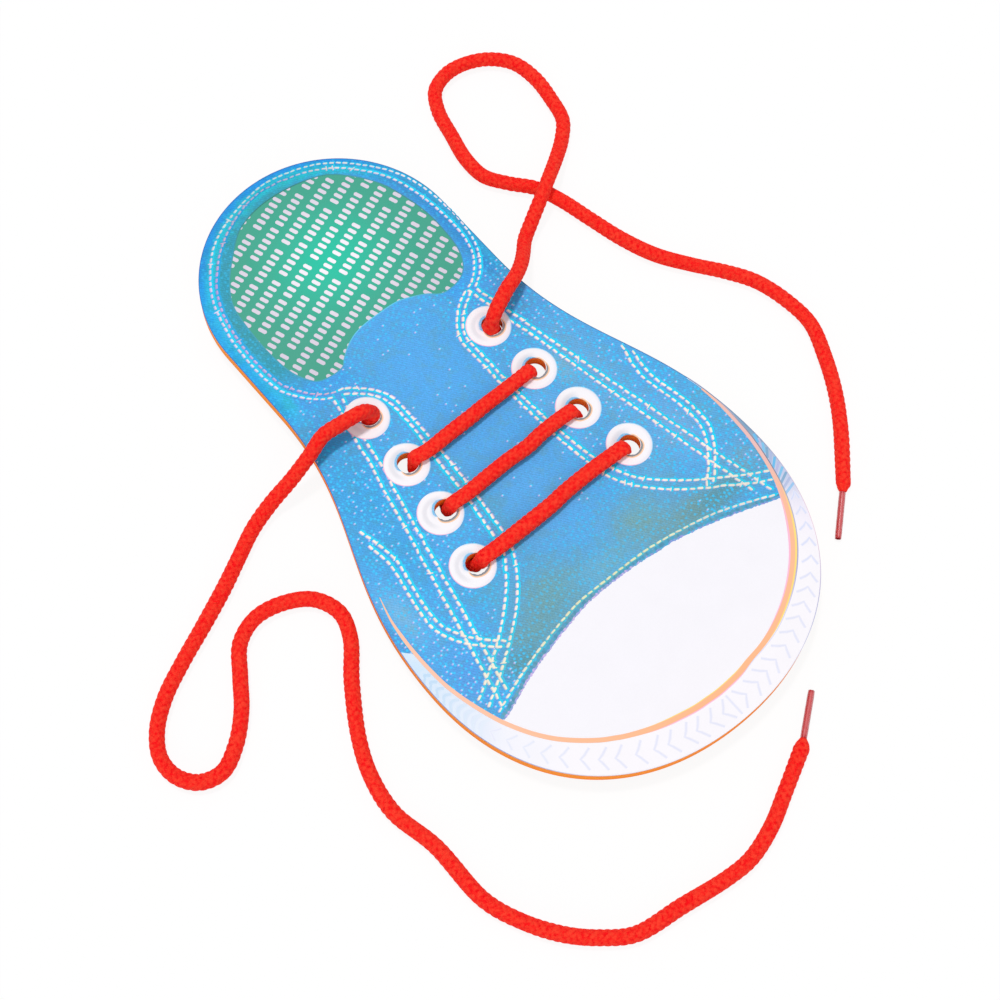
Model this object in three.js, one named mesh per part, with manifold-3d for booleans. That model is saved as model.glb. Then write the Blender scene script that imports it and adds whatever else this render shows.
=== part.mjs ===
// A lacing practice shoe. A flat foam board is cut to the outline of a sneaker seen from above,
// a printed film is bonded all over its top, and one round braided lace is threaded through
// the eight holes that are punched through both.
//
// Millimetres. +Y points to the heel, -Y to the toe, +X to the shoe's right and +Z up. The
// origin is on the surface that the shoe lies on, under the middle of the board.

import * as THREE from 'three';
import { mergeVertices } from 'three/addons/utils/BufferGeometryUtils.js';
import Module from 'manifold-3d';

const wasm = await Module();
wasm.setup();

// The board's outline: a round heel, parallel sides, a flare and a blunt round toe.
const BOARD_LENGTH = 260;
const TOE_WIDTH = 144.8;
const HEEL_WIDTH = 97;
const TOE_DEPTH = 71.4;
const FLARE_LENGTH = 110;
const FOAM_THICKNESS = 4.7;
const FILM_THICKNESS = 0.25;

// Handle lengths of the outline's curves, as shares of the stretch that each curve spans.
const TOE_HANDLE_SHARE = 0.6125;
const FLARE_TOE_HANDLE_SHARE = 0.452;
const FLARE_HEEL_HANDLE_SHARE = 0.42;

// Two rows of four holes. They are listed from the heel to the toe, and the whole pattern is
// punched a little to the right of the outline's middle.
const HOLE_DIAMETER = 7.5;
const HEEL_ROW_Y = 31.6;
const LACING_LENGTH = 65.1;
const TOE_ROW_SPREAD = 68.3;
const PUNCH_OFFSET = 2;
const ROW_DROP_SHARES = [0, 0.341, 0.668, 1];
const ROW_SPREAD_SHARES = [0.808, 0.834, 0.866, 1];

// The lace: full where it lies free, thinner where it is pulled tight through the board.
const LACE_DIAMETER = 5.2;
const TAUT_LACE_DIAMETER = 4.6;
const RESTING_FLAT_SHARE = 0.1;
const CLEARANCE = 0.3;

// Two runs on the left, under the board, are bowed apart so that they lie side by side.
const LONG_RUN_BOW = 6.5;
const SHORT_RUN_BOW = 2.5;

// Each end of the lace comes up on the far side of its hole's middle and turns level over it.
const EXIT_LEAN = -1;
const EXIT_BEND_RADIUS = 6.2;
const EXIT_STRAIGHT = 2.45;
const TAIL_LEAD = 4;
const LEFT_EXIT_ANGLE = THREE.MathUtils.degToRad(174);
const RIGHT_EXIT_ANGLE = THREE.MathUtils.degToRad(25);

// The lace narrows at a shoulder into its aglet, a thin sheath rolled round its end.
const SHOULDER_LENGTH = 3;
const AGLET_LENGTH = 16.9;
const AGLET_DIAMETER = 2.4;
const AGLET_WALL = 0.2;
const CORE_CLEARANCE = 0.2;
const CORE_LENGTH = 14;

// Counts of the tubes' sides and steps.
const LACE_SIDES = 10;
const BEND_STEPS = 5;
const BOWED_RUN_STEPS = 8;
const LEFT_TAIL_STEPS = 60;
const RIGHT_TAIL_STEPS = 50;
const OUTLINE_SEGMENTS = 16;
const AGLET_SEGMENTS = 16;

// The lace's two free tails, each from above the board to its shoulder, then the tip of its
// aglet. A tail's first two points follow from its hole, so its list starts with the third.
const LEFT_TAIL_ROUTE = [
  [-43.9, 33.2, 15.4], [-51, 31.3, 13.4], [-60.2, 30, 8.6], [-70.2, 29.2, 3.9], [-80.2, 26.2, 2.6],
  [-90.5, 20.8, 2.6], [-100.4, 15.5, 2.6], [-114.1, 9, 2.6], [-127, 3.2, 2.6], [-138.6, -2.9, 2.6],
  [-147.2, -10.2, 2.6], [-151.8, -18.2, 2.6], [-151.6, -26.2, 2.6], [-147, -32.6, 2.6], [-139.3, -34.6, 2.6],
  [-130.6, -30.2, 2.6], [-122.1, -22.1, 2.6], [-115.5, -12.8, 2.6], [-108.3, -3.4, 2.6], [-99.2, 0.3, 2.6],
  [-89, -1.4, 2.6], [-80.2, -7, 2.6], [-76.6, -16, 2.6], [-79.3, -25, 2.6], [-88.5, -37.3, 2.6],
  [-99, -54.3, 2.6], [-103.8, -66.5, 2.6], [-105.6, -80, 2.6], [-102.3, -96.9, 2.6], [-101.5, -120.1, 2.6],
  [-96.6, -133, 2.6], [-89.3, -144.3, 2.6], [-81.3, -152.3, 2.6], [-72, -158.6, 2.6], [-54.9, -161.4, 2.6],
  [-37.9, -164.1, 2.6], [-28, -164.3, 2.6], [-16.1, -161, 2.6], [-4.1, -155.2, 2.6], [9.8, -148.2, 2.6],
];
const LEFT_AGLET_TIP = [26, -136.1, 1.2];
const RIGHT_TAIL_ROUTE = [
  [46.5, 39.1, 14.6], [52.2, 42.7, 11.8], [57.9, 47.7, 7], [63.2, 52.8, 4.2], [69.7, 56.7, 4.8],
  [76.6, 60.3, 7.3], [84.8, 65.1, 8.1], [93.9, 71.1, 5.2], [101.8, 77, 3], [107.8, 83.4, 2.6],
  [110.4, 92.8, 2.6], [111.8, 103.9, 2.6], [110, 113.9, 2.6], [103.9, 121.2, 2.6], [95.3, 125.4, 2.6],
  [87.2, 126.1, 2.6], [79.3, 122.9, 2.6], [74.4, 115.1, 2.6], [71.5, 104, 2.6], [69, 92.8, 2.6],
  [69.4, 83.2, 2.6], [74.3, 75.3, 2.6], [80.9, 67.1, 2.6], [84.7, 57.2, 2.6], [87.6, 45, 2.6],
  [91.1, 31.1, 2.6], [96, 18.7, 2.6], [103.4, 7.4, 2.6], [111, -2.8, 2.6], [116.7, -12.6, 2.6],
  [119.7, -24.9, 2.6], [119.9, -37.1, 2.6], [114.7, -50, 2.6], [107.8, -62.4, 2.6], [99.7, -73.5, 2.6],
  [85.6, -89.4, 2.6],
];
const RIGHT_AGLET_TIP = [70.1, -103.1, 1.2];

const HOLE_RADIUS = HOLE_DIAMETER / 2;
const LACE_RADIUS = LACE_DIAMETER / 2;
const TAUT_RADIUS = TAUT_LACE_DIAMETER / 2;

// The tight lace turns over a hole's rim at this distance from the rim's corner, and inside
// the hole it then leans this far from the hole's middle.
const RIM_BEND_RADIUS = TAUT_RADIUS + CLEARANCE;
const HOLE_LEAN = HOLE_RADIUS - RIM_BEND_RADIUS;

// The board lies on the runs of lace under it, which are flattened where they meet the floor.
const UNDER_RUN_Z = TAUT_RADIUS - TAUT_LACE_DIAMETER * RESTING_FLAT_SHARE;
const BOARD_BOTTOM = UNDER_RUN_Z + RIM_BEND_RADIUS;
const FOAM_TOP = BOARD_BOTTOM + FOAM_THICKNESS;
const BOARD_TOP = FOAM_TOP + FILM_THICKNESS;

const foamMaterial = new THREE.MeshStandardMaterial({ color: 0xf28a24, roughness: 0.85, metalness: 0 });
const filmMaterial = new THREE.MeshStandardMaterial({ color: 0x3f93cf, roughness: 0.5, metalness: 0 });
const laceMaterial = new THREE.MeshStandardMaterial({ color: 0xe8190f, roughness: 0.9, metalness: 0 });
const agletMaterial = new THREE.MeshStandardMaterial({ color: 0xb8404a, roughness: 0.3, metalness: 0 });

// The centre of a hole. Row 0 is nearest the heel, and side is -1 for left and 1 for right.
function holeCentre(row, side) {
  const halfSpread = (TOE_ROW_SPREAD / 2) * ROW_SPREAD_SHARES[row];
  return new THREE.Vector2(
    PUNCH_OFFSET + side * halfSpread,
    HEEL_ROW_Y - LACING_LENGTH * ROW_DROP_SHARES[row],
  );
}

// The outline runs anticlockwise from the tip of the toe, and the holes are cut out of it.
function boardShape() {
  const toeHalf = TOE_WIDTH / 2;
  const heelHalf = HEEL_WIDTH / 2;
  const toeTip = -BOARD_LENGTH / 2;
  const widestY = toeTip + TOE_DEPTH;
  const flareTopY = widestY + FLARE_LENGTH;
  const heelCentreY = BOARD_LENGTH / 2 - heelHalf;
  const toeHandleX = toeHalf * TOE_HANDLE_SHARE;
  const toeHandleY = widestY - TOE_DEPTH * TOE_HANDLE_SHARE;
  const flareLowY = widestY + FLARE_LENGTH * FLARE_TOE_HANDLE_SHARE;
  const flareHighY = flareTopY - FLARE_LENGTH * FLARE_HEEL_HANDLE_SHARE;

  const shape = new THREE.Shape();
  shape.moveTo(0, toeTip);
  shape.bezierCurveTo(toeHandleX, toeTip, toeHalf, toeHandleY, toeHalf, widestY);
  shape.bezierCurveTo(toeHalf, flareLowY, heelHalf, flareHighY, heelHalf, flareTopY);
  shape.lineTo(heelHalf, heelCentreY);
  shape.absarc(0, heelCentreY, heelHalf, 0, Math.PI, false);
  shape.lineTo(-heelHalf, flareTopY);
  shape.bezierCurveTo(-heelHalf, flareHighY, -toeHalf, flareLowY, -toeHalf, widestY);
  shape.bezierCurveTo(-toeHalf, toeHandleY, -toeHandleX, toeTip, 0, toeTip);

  for (const side of [-1, 1]) {
    for (let row = 0; row < ROW_DROP_SHARES.length; row++) {
      const centre = holeCentre(row, side);
      const hole = new THREE.Path();
      hole.absarc(centre.x, centre.y, HOLE_RADIUS, 0, 2 * Math.PI, true);
      shape.holes.push(hole);
    }
  }
  return shape;
}

function sheetGeometry(bottom, thickness) {
  const geometry = new THREE.ExtrudeGeometry(boardShape(), {
    depth: thickness,
    bevelEnabled: false,
    curveSegments: OUTLINE_SEGMENTS,
  });
  return geometry.translate(0, 0, bottom);
}

// A curve through stations that an extrusion follows station by station, so that the bends
// get many steps and the straight stretches one.
class StationCurve extends THREE.Curve {
  constructor(stations) {
    super();
    this.stations = stations;
  }

  getPoint(t, target = new THREE.Vector3()) {
    const place = t * (this.stations.length - 1);
    const index = Math.min(Math.floor(place), this.stations.length - 2);
    return target.lerpVectors(this.stations[index], this.stations[index + 1], place - index);
  }

  getUtoTmapping(u) {
    return u;
  }
}

function tubeGeometry(curve, steps, radius) {
  const section = [];
  for (let i = 0; i < LACE_SIDES; i++) {
    const angle = (2 * Math.PI * i) / LACE_SIDES;
    section.push(new THREE.Vector2(radius * Math.cos(angle), radius * Math.sin(angle)));
  }
  return new THREE.ExtrudeGeometry(new THREE.Shape(section), { steps, extrudePath: curve });
}

// A point at a reach from a hole's centre towards a level direction, at a height.
function besideHole(hole, direction, reach, z) {
  return new THREE.Vector3(hole.x + direction.x * reach, hole.y + direction.y * reach, z);
}

// The quarter turn over a hole's rim, from inside the hole to level. Side is 1 for the rim on
// top of the board and -1 for the one under it.
function rimBend(hole, direction, rimZ, side) {
  const points = [];
  for (let i = 0; i <= BEND_STEPS; i++) {
    const angle = (Math.PI / 2) * (i / BEND_STEPS);
    const reach = HOLE_RADIUS - RIM_BEND_RADIUS * Math.cos(angle);
    points.push(besideHole(hole, direction, reach, rimZ + side * RIM_BEND_RADIUS * Math.sin(angle)));
  }
  return points;
}

// The wider turn of a free end, up out of a hole and level above the board.
function exitBend(hole, direction) {
  const points = [];
  for (let i = 0; i <= BEND_STEPS; i++) {
    const angle = (Math.PI / 2) * (i / BEND_STEPS);
    const reach = EXIT_LEAN + EXIT_BEND_RADIUS * (1 - Math.cos(angle));
    points.push(besideHole(hole, direction, reach, BOARD_TOP + EXIT_BEND_RADIUS * Math.sin(angle)));
  }
  const reach = EXIT_LEAN + EXIT_BEND_RADIUS + EXIT_STRAIGHT;
  points.push(besideHole(hole, direction, reach, BOARD_TOP + EXIT_BEND_RADIUS));
  return points;
}

// The level directions in which a run leaves its two holes. A bow bends it to the right of
// the way that it goes.
function runDirections(from, to, bow) {
  const chord = to.clone().sub(from);
  const aside = new THREE.Vector2(chord.y, -chord.x).normalize().multiplyScalar(4 * bow);
  return [chord.clone().add(aside).normalize(), chord.clone().negate().add(aside).normalize()];
}

// The stations of a run between two rims: none if it is straight, else those inside a curve
// that is tangent to both directions.
function bowedRun(start, startDirection, end, endDirection) {
  const handle = start.distanceTo(end) / 3;
  const curve = new THREE.CubicBezierCurve3(
    start,
    besideHole(start, startDirection, handle, start.z),
    besideHole(end, endDirection, handle, end.z),
    end,
  );
  return curve.getPoints(BOWED_RUN_STEPS).slice(1, -1);
}

// The order in which the lace visits the holes, with the bow of each run between them. It runs
// under the board first, then by turns over and under it.
const THREADING = [
  { hole: holeCentre(0, -1), bow: LONG_RUN_BOW },
  { hole: holeCentre(3, -1), bow: 0 },
  { hole: holeCentre(3, 1), bow: 0 },
  { hole: holeCentre(2, 1), bow: 0 },
  { hole: holeCentre(2, -1), bow: SHORT_RUN_BOW },
  { hole: holeCentre(1, -1), bow: 0 },
  { hole: holeCentre(1, 1), bow: 0 },
  { hole: holeCentre(0, 1) },
];

function levelDirection(angle) {
  return new THREE.Vector2(Math.cos(angle), Math.sin(angle));
}

// All stations of the tight lace, from above the first hole to above the last.
function threadedStations() {
  const firstHole = THREADING[0].hole;
  const lastHole = THREADING[THREADING.length - 1].hole;
  const stations = exitBend(firstHole, levelDirection(LEFT_EXIT_ANGLE)).reverse();
  for (let i = 0; i < THREADING.length - 1; i++) {
    const from = THREADING[i].hole;
    const to = THREADING[i + 1].hole;
    const { bow } = THREADING[i];
    const under = i % 2 === 0;
    const rimZ = under ? BOARD_BOTTOM : BOARD_TOP;
    const side = under ? -1 : 1;
    const [leaving, arriving] = runDirections(from, to, bow);
    const first = rimBend(from, leaving, rimZ, side);
    const second = rimBend(to, arriving, rimZ, side).reverse();
    stations.push(...first);
    if (bow !== 0) {
      stations.push(...bowedRun(first[BEND_STEPS], leaving, second[0], arriving));
    }
    stations.push(...second);
  }
  stations.push(...exitBend(lastHole, levelDirection(RIGHT_EXIT_ANGLE)));
  return stations;
}

function toSolid(geometry) {
  const bare = geometry.clone();
  bare.deleteAttribute('normal');
  bare.deleteAttribute('uv');
  const merged = mergeVertices(bare);
  return new wasm.Manifold(new wasm.Mesh({
    numProp: 3,
    vertProperties: new Float32Array(merged.attributes.position.array),
    triVerts: new Uint32Array(merged.index.array),
  }));
}

function toGeometry(solid) {
  const mesh = solid.getMesh();
  const geometry = new THREE.BufferGeometry();
  geometry.setAttribute('position', new THREE.BufferAttribute(mesh.vertProperties, 3));
  geometry.setIndex(new THREE.BufferAttribute(mesh.triVerts, 1));
  geometry.computeVertexNormals();
  return geometry;
}

// Turned solids are made along +Y, then swung to point from one place along a direction.
function alongDirection(geometry, place, direction) {
  const turn = new THREE.Quaternion().setFromUnitVectors(new THREE.Vector3(0, 1, 0), direction);
  return geometry.applyQuaternion(turn).translate(place.x, place.y, place.z);
}

// The tight lace, with everything below the floor cut away from the runs that it stands on.
function threadedLace(stations) {
  const tube = toSolid(tubeGeometry(new StationCurve(stations), stations.length - 1, TAUT_RADIUS));
  const ground = new THREE.BoxGeometry(TOE_WIDTH, BOARD_LENGTH, TAUT_LACE_DIAMETER);
  ground.translate(0, 0, -TAUT_RADIUS);
  return toGeometry(tube.subtract(toSolid(ground)));
}

// A free tail: a tube along its route, a cone for the shoulder and the bare end of the lace
// that sits in the aglet.
function freeTail(route, steps, direction) {
  const curve = new THREE.CatmullRomCurve3(route);
  const tube = toSolid(tubeGeometry(curve, steps, LACE_RADIUS));
  const coreRadius = AGLET_DIAMETER / 2 - AGLET_WALL - CORE_CLEARANCE;
  const rootDepth = SHOULDER_LENGTH / 2;
  const end = new THREE.LatheGeometry([
    new THREE.Vector2(0, -rootDepth),
    new THREE.Vector2(LACE_RADIUS / 2, -rootDepth),
    new THREE.Vector2(LACE_RADIUS, 0),
    new THREE.Vector2(AGLET_DIAMETER / 2, SHOULDER_LENGTH),
    new THREE.Vector2(coreRadius, SHOULDER_LENGTH),
    new THREE.Vector2(coreRadius, SHOULDER_LENGTH + CORE_LENGTH),
    new THREE.Vector2(0, SHOULDER_LENGTH + CORE_LENGTH),
  ], AGLET_SEGMENTS);
  const shoulder = toSolid(alongDirection(end, route[route.length - 1], direction));
  return toGeometry(tube.add(shoulder));
}

function agletSheath(place, direction) {
  const outer = AGLET_DIAMETER / 2;
  const inner = outer - AGLET_WALL;
  const start = SHOULDER_LENGTH + CLEARANCE;
  const sheath = new THREE.LatheGeometry([
    new THREE.Vector2(inner, start),
    new THREE.Vector2(outer, start),
    new THREE.Vector2(outer, start + AGLET_LENGTH),
    new THREE.Vector2(inner, start + AGLET_LENGTH),
    new THREE.Vector2(inner, start),
  ], AGLET_SEGMENTS);
  return alongDirection(sheath, place, direction);
}

function addPiece(group, name, geometry, material) {
  const mesh = new THREE.Mesh(geometry, material);
  mesh.name = name;
  group.add(mesh);
}

const shoe = new THREE.Group();

const board = new THREE.Group();
addPiece(board, 'foam_board', sheetGeometry(BOARD_BOTTOM, FOAM_THICKNESS), foamMaterial);
addPiece(board, 'printed_face', sheetGeometry(FOAM_TOP, FILM_THICKNESS), filmMaterial);
shoe.add(board);

const lace = new THREE.Group();
const stations = threadedStations();
addPiece(lace, 'lace_threaded', threadedLace(stations), laceMaterial);

const tails = [
  {
    side: 'left',
    exit: stations[0],
    angle: LEFT_EXIT_ANGLE,
    points: LEFT_TAIL_ROUTE,
    tip: LEFT_AGLET_TIP,
    steps: LEFT_TAIL_STEPS,
  },
  {
    side: 'right',
    exit: stations[stations.length - 1],
    angle: RIGHT_EXIT_ANGLE,
    points: RIGHT_TAIL_ROUTE,
    tip: RIGHT_AGLET_TIP,
    steps: RIGHT_TAIL_STEPS,
  },
];
for (const { side, exit, angle, points, tip, steps } of tails) {
  const start = besideHole(exit, levelDirection(angle), CLEARANCE, exit.z);
  const ahead = besideHole(start, levelDirection(angle), TAIL_LEAD, start.z);
  const route = [start, ahead, ...points.map((point) => new THREE.Vector3(...point))];
  const end = route[route.length - 1];
  const direction = new THREE.Vector3(...tip).sub(end).normalize();
  addPiece(lace, `lace_tail_${side}`, freeTail(route, steps, direction), laceMaterial);
  addPiece(lace, `aglet_${side}`, agletSheath(end, direction), agletMaterial);
}
shoe.add(lace);

export default shoe;
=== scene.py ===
"""Lacing practice shoe: a foam board with a printed face, and one red braided lace.

Routes and sizes are in millimetres, in the row frame. They become metres when a mesh is made.
"""

import math

import bpy
import numpy as np
from mathutils import Matrix, Vector
from mathutils.geometry import delaunay_2d_cdt


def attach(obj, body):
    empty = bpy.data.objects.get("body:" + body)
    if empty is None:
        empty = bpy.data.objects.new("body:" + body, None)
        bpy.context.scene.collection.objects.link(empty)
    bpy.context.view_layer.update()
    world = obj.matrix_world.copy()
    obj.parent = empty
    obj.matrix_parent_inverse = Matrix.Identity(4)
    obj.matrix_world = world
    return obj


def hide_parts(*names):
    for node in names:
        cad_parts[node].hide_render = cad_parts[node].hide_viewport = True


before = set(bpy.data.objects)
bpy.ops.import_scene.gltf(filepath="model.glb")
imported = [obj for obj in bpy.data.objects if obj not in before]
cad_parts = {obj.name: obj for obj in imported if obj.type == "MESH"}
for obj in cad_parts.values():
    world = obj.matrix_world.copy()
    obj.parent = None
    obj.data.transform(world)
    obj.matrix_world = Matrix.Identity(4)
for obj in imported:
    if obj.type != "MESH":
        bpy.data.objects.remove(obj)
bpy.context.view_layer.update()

MM = 0.001

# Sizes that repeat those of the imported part.
BOARD_LENGTH = 260
TOE_HALF = 72.4
HEEL_HALF = 48.5
TOE_DEPTH = 71.4
FLARE_LENGTH = 110
TOE_HANDLE_SHARE = 0.6125
FLARE_TOE_HANDLE_SHARE = 0.452
FLARE_HEEL_HANDLE_SHARE = 0.42
HOLE_RADIUS = 3.75
LACE_RADIUS = 2.6
RIM_BEND_RADIUS = 2.6
BOARD_BOTTOM = 4.44
FOAM_TOP = 9.14
BOARD_TOP = 9.39
LONG_RUN_BOW = 6.5
SHORT_RUN_BOW = 2.5
EXIT_LEAN = -1
EXIT_BEND_RADIUS = 6.2
EXIT_STRAIGHT = 2.45
TAIL_GAP = 0.3
TAIL_LEAD = 4
LEFT_EXIT_ANGLE = math.radians(174)
RIGHT_EXIT_ANGLE = math.radians(25)
SHOULDER_LENGTH = 3
CORE_LENGTH = 14
CORE_RADIUS = 0.8
AGLET_RADIUS = 1.2
AGLET_WALL = 0.2
AGLET_START = 3.1
AGLET_END = 20.2

HOLES_LEFT = np.array([[-25.59, 31.6], [-26.48, 9.4], [-27.57, -11.89], [-32.15, -33.5]])
HOLES_RIGHT = np.array([[29.59, 31.6], [30.48, 9.4], [31.57, -11.89], [36.15, -33.5]])
HOLES = np.vstack([HOLES_LEFT, HOLES_RIGHT])

# The places that the free tails pass, and their heights until they lie on the floor.
LEFT_TAIL_ROUTE = [
    (-43.9, 33.2), (-51, 31.3), (-60.2, 30), (-70.2, 29.2), (-80.2, 26.2), (-90.5, 20.8), (-100.4, 15.5),
    (-114.1, 9), (-127, 3.2), (-138.6, -2.9), (-147.2, -10.2), (-151.8, -18.2), (-151.6, -26.2),
    (-147, -32.6), (-139.3, -34.6), (-130.6, -30.2), (-122.1, -22.1), (-115.5, -12.8), (-108.3, -3.4),
    (-99.2, 0.3), (-89, -1.4), (-80.2, -7), (-76.6, -16), (-79.3, -25), (-88.5, -37.3), (-99, -54.3),
    (-103.8, -66.5), (-105.6, -80), (-102.3, -96.9), (-101.5, -120.1), (-96.6, -133), (-89.3, -144.3),
    (-81.3, -152.3), (-72, -158.6), (-54.9, -161.4), (-37.9, -164.1), (-28, -164.3), (-16.1, -161),
    (-4.1, -155.2), (9.8, -148.2),
]
LEFT_TAIL_HEIGHTS = [15.4, 13.4, 8.6, 3.9]
LEFT_AGLET_TIP = [26, -136.1, 1.2]
RIGHT_TAIL_ROUTE = [
    (46.5, 39.1), (52.2, 42.7), (57.9, 47.7), (63.2, 52.8), (69.7, 56.7), (76.6, 60.3), (84.8, 65.1),
    (93.9, 71.1), (101.8, 77), (107.8, 83.4), (110.4, 92.8), (111.8, 103.9), (110, 113.9), (103.9, 121.2),
    (95.3, 125.4), (87.2, 126.1), (79.3, 122.9), (74.4, 115.1), (71.5, 104), (69, 92.8), (69.4, 83.2),
    (74.3, 75.3), (80.9, 67.1), (84.7, 57.2), (87.6, 45), (91.1, 31.1), (96, 18.7), (103.4, 7.4),
    (111, -2.8), (116.7, -12.6), (119.7, -24.9), (119.9, -37.1), (114.7, -50), (107.8, -62.4), (99.7, -73.5),
    (85.6, -89.4),
]
RIGHT_TAIL_HEIGHTS = [14.6, 11.8, 7, 4.2, 4.8, 7.3, 8.1, 5.2, 3]
RIGHT_AGLET_TIP = [70.1, -103.1, 1.2]

# Where the soft lace crosses the top of the board, it hugs the rims closer than its stiff stand-in
# does, spreads wider than it is thick, and sways a little to the toe.
RIM_HUG_RADIUS = 1.75
INWARD_PULL = 1.3
FIRST_HOLE_SWELL = 0.38
BAR_RISE = 0.35
BAR_SPREAD = np.array([1.17, 1.17, 1.23])
BAR_THICKNESS = 0.98
BAR_RIM_THICKNESS = 0.72
SWAY_PLACES = [0, 0.15, 0.3, 0.45, 0.6, 0.75, 0.88, 1]
BAR_SWAYS = [
    [-0.5, -1.45, -1.2, -1.1, -0.75, -0.7, -0.5, -0.2],
    [-0.3, -0.8, -0.5, -0.3, -0.65, 0.16, 0.34, 0.2],
    [-0.3, -0.75, -0.68, -0.5, 0.26, 0.44, 0.27, 0.1],
]

# How far in from its ends a run over the board starts to rise, and is up, and where its press has eased.
BAR_HUMP = (2, 12)
PRESS_EASED = 14
# The height in a hole from which the lace spreads, and how far from the first holes it counts as theirs.
SPREAD_FOOT = 5.5
FIRST_HOLE_REACH = 10
# The gap that the lace keeps from a hole's wall, and how far from a hole's middle it is pressed in.
HOLE_CLEARANCE = 0.06
HOLE_CATCH = 6

# The braid: eight strands, of which four turn each way round the lace. It thins between two distances
# past each free tail. Small waves of a reach, a start and a size keep it from being quite even.
BRAID_RADIUS = 2.72
BRAID_TAUT_RADIUS = 2.36
THINNING = (4, 16)
SHEATH_FIT = 0.98
STRAND_PITCH = 2.4
STRAND_RELIEF = 0.27
STRAND_ROUNDNESS = 2.2
CROSSING_RELIEF = 0.12
WIDTH_WAVES = [(6.1, 0, 0.015), (14.3, 2, 0.012)]
TURN_WAVES = [(41, 0, 0.8), (17, 1.3, 0.5)]
RING_STEP = 0.3
RING_SIDES = 48

# The film of each tip, and the cut edge of the foam.
AGLET_LAP_TURNS = 1.22
AGLET_FILM = AGLET_WALL * 0.55
AGLET_PINCH = 0.07
AGLET_PINCH_REACH = 0.8
AGLET_WAVER = 0.012
# The painted highlight along the top of each tip: its reach round the section, and how far from the ends it
# fades in.
HIGHLIGHT_REACH = 0.55
HIGHLIGHT_EBB = 1.4
TOP_ROUND = 0.18
BOTTOM_ROUND = 0.55
WALL_HOLLOW = 0.14

# The camera stands where the photograph's stood. Azimuth 0 looks along +Y, and 90 along -X.
CAMERA_AIM = [-11.323, -21.006, 9.39]
CAMERA_AZIMUTH = -43.994
CAMERA_ELEVATION = 66.679
CAMERA_ROLL = 4.041
CAMERA_DISTANCE = 684.874
CAMERA_LENS = 73.194

# Heights of the layers of the print, all inside the thickness of the film. Every row of stitches has
# heights of its own, a step apart, and so have neighbouring marks of the sole, so that no two layers
# that cross lie in one plane.
LAYER_ROOT = 9.20
INSOLE_TOP = 9.290
MARKS_TOP = 9.300
DENIM_ROOT = 9.15
DENIM_TOP = 9.310
INSOLE_LINE_TOP = 9.314
CAP_TOP = 9.318
CAP_SEAM_TOP = 9.319
STRIPES_TOP = 9.3192
CAP_FRINGE_TOP = 9.321
RIPPLES_TOP = 9.321
RIPPLE_GAPS_TOP = 9.32115
CHEVRON_HAZE_TOP = 9.3222
CHEVRONS_TOP = 9.3234
PIPING_LINE_TOP = 9.324
NEIGHBOUR_STEP = 0.0004
STITCH_EDGE_TOP = 9.324
STITCH_ROSE_TOP = 9.339
STITCH_TOP = 9.354
STITCH_STEP = 0.001
PIPING_ROSE_TOP = 9.370
PIPING_YELLOW_TOP = 9.373
PIPING_TOP = 9.376
EDGE_LINE_TOP = 9.380
EYELET_TOP = 9.384


def new_object(name, data):
    """An object that holds the data, put into the scene."""
    made = bpy.data.objects.new(name, data)
    bpy.context.scene.collection.objects.link(made)
    return made


def set_camera():
    """The camera looks down a line of that azimuth and elevation at the aim point, then is rolled."""
    azimuth = math.radians(CAMERA_AZIMUTH)
    elevation = math.radians(CAMERA_ELEVATION)
    back = Vector((
        math.sin(azimuth) * math.cos(elevation),
        -math.cos(azimuth) * math.cos(elevation),
        math.sin(elevation),
    ))
    camera = new_object("photo_camera", bpy.data.cameras.new("photo_camera"))
    camera.data.sensor_width = 36
    camera.data.lens = CAMERA_LENS
    camera.data.clip_start = 0.01
    camera.data.clip_end = 20
    camera.location = (Vector(CAMERA_AIM) + back * CAMERA_DISTANCE) * MM
    level = (-back).to_track_quat("-Z", "Y").to_matrix()
    camera.rotation_euler = (level @ Matrix.Rotation(math.radians(CAMERA_ROLL), 3, "Z")).to_euler()
    bpy.context.scene.camera = camera


set_camera()


# Lines and surfaces

def unit(vectors):
    """Each row divided by its length."""
    return vectors / np.linalg.norm(vectors, axis=-1, keepdims=True)


def smooth_line(points, closed=False, parts=32):
    """A centripetal Catmull-Rom curve through the points.

    It is a cubic arc between each two of them, with knots spaced by the root of their distances.
    """
    points = np.asarray(points, float)
    if closed:
        padded = np.vstack([points[-1:], points, points[:2]])
    else:
        padded = np.vstack([2 * points[0] - points[1], points, 2 * points[-1] - points[-2]])
    a, b, c, d = padded[:-3], padded[1:-2], padded[2:-1], padded[3:]
    before, during, after = (
        np.sqrt(np.linalg.norm(step, axis=1))[:, None] for step in (b - a, c - b, d - c))
    start = ((b - a) / before - (c - a) / (before + during) + (c - b) / during) * during
    end = ((c - b) / during - (d - b) / (during + after) + (d - c) / after) * during
    t = np.linspace(0, 1, parts, endpoint=False)[None, :, None]
    b, c, start, end = (x[:, None, :] for x in (b, c, start, end))
    arcs = b + start * t + (3 * (c - b) - 2 * start - end) * t**2 + (2 * (b - c) + start + end) * t**3
    line = arcs.reshape(-1, points.shape[1])
    return line if closed else np.vstack([line, points[-1:]])


def travelled(line):
    """How far along the line each of its points is."""
    return np.concatenate([[0], np.cumsum(np.linalg.norm(np.diff(line, axis=0), axis=1))])


def at_distances(line, distances):
    """The points of the line at those distances from its start."""
    along = travelled(line)
    return np.stack([np.interp(distances, along, line[:, k]) for k in range(line.shape[1])], 1)


def evenly(line, step, closed=False):
    """Points a step apart along the line. A closed line isn't given its first point twice."""
    if closed:
        line = np.vstack([line, line[:1]])
    length = travelled(line)[-1]
    count = max(int(round(length / step)), 2)
    return at_distances(line, np.linspace(0, length, count + 1)[: count if closed else None])


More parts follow.
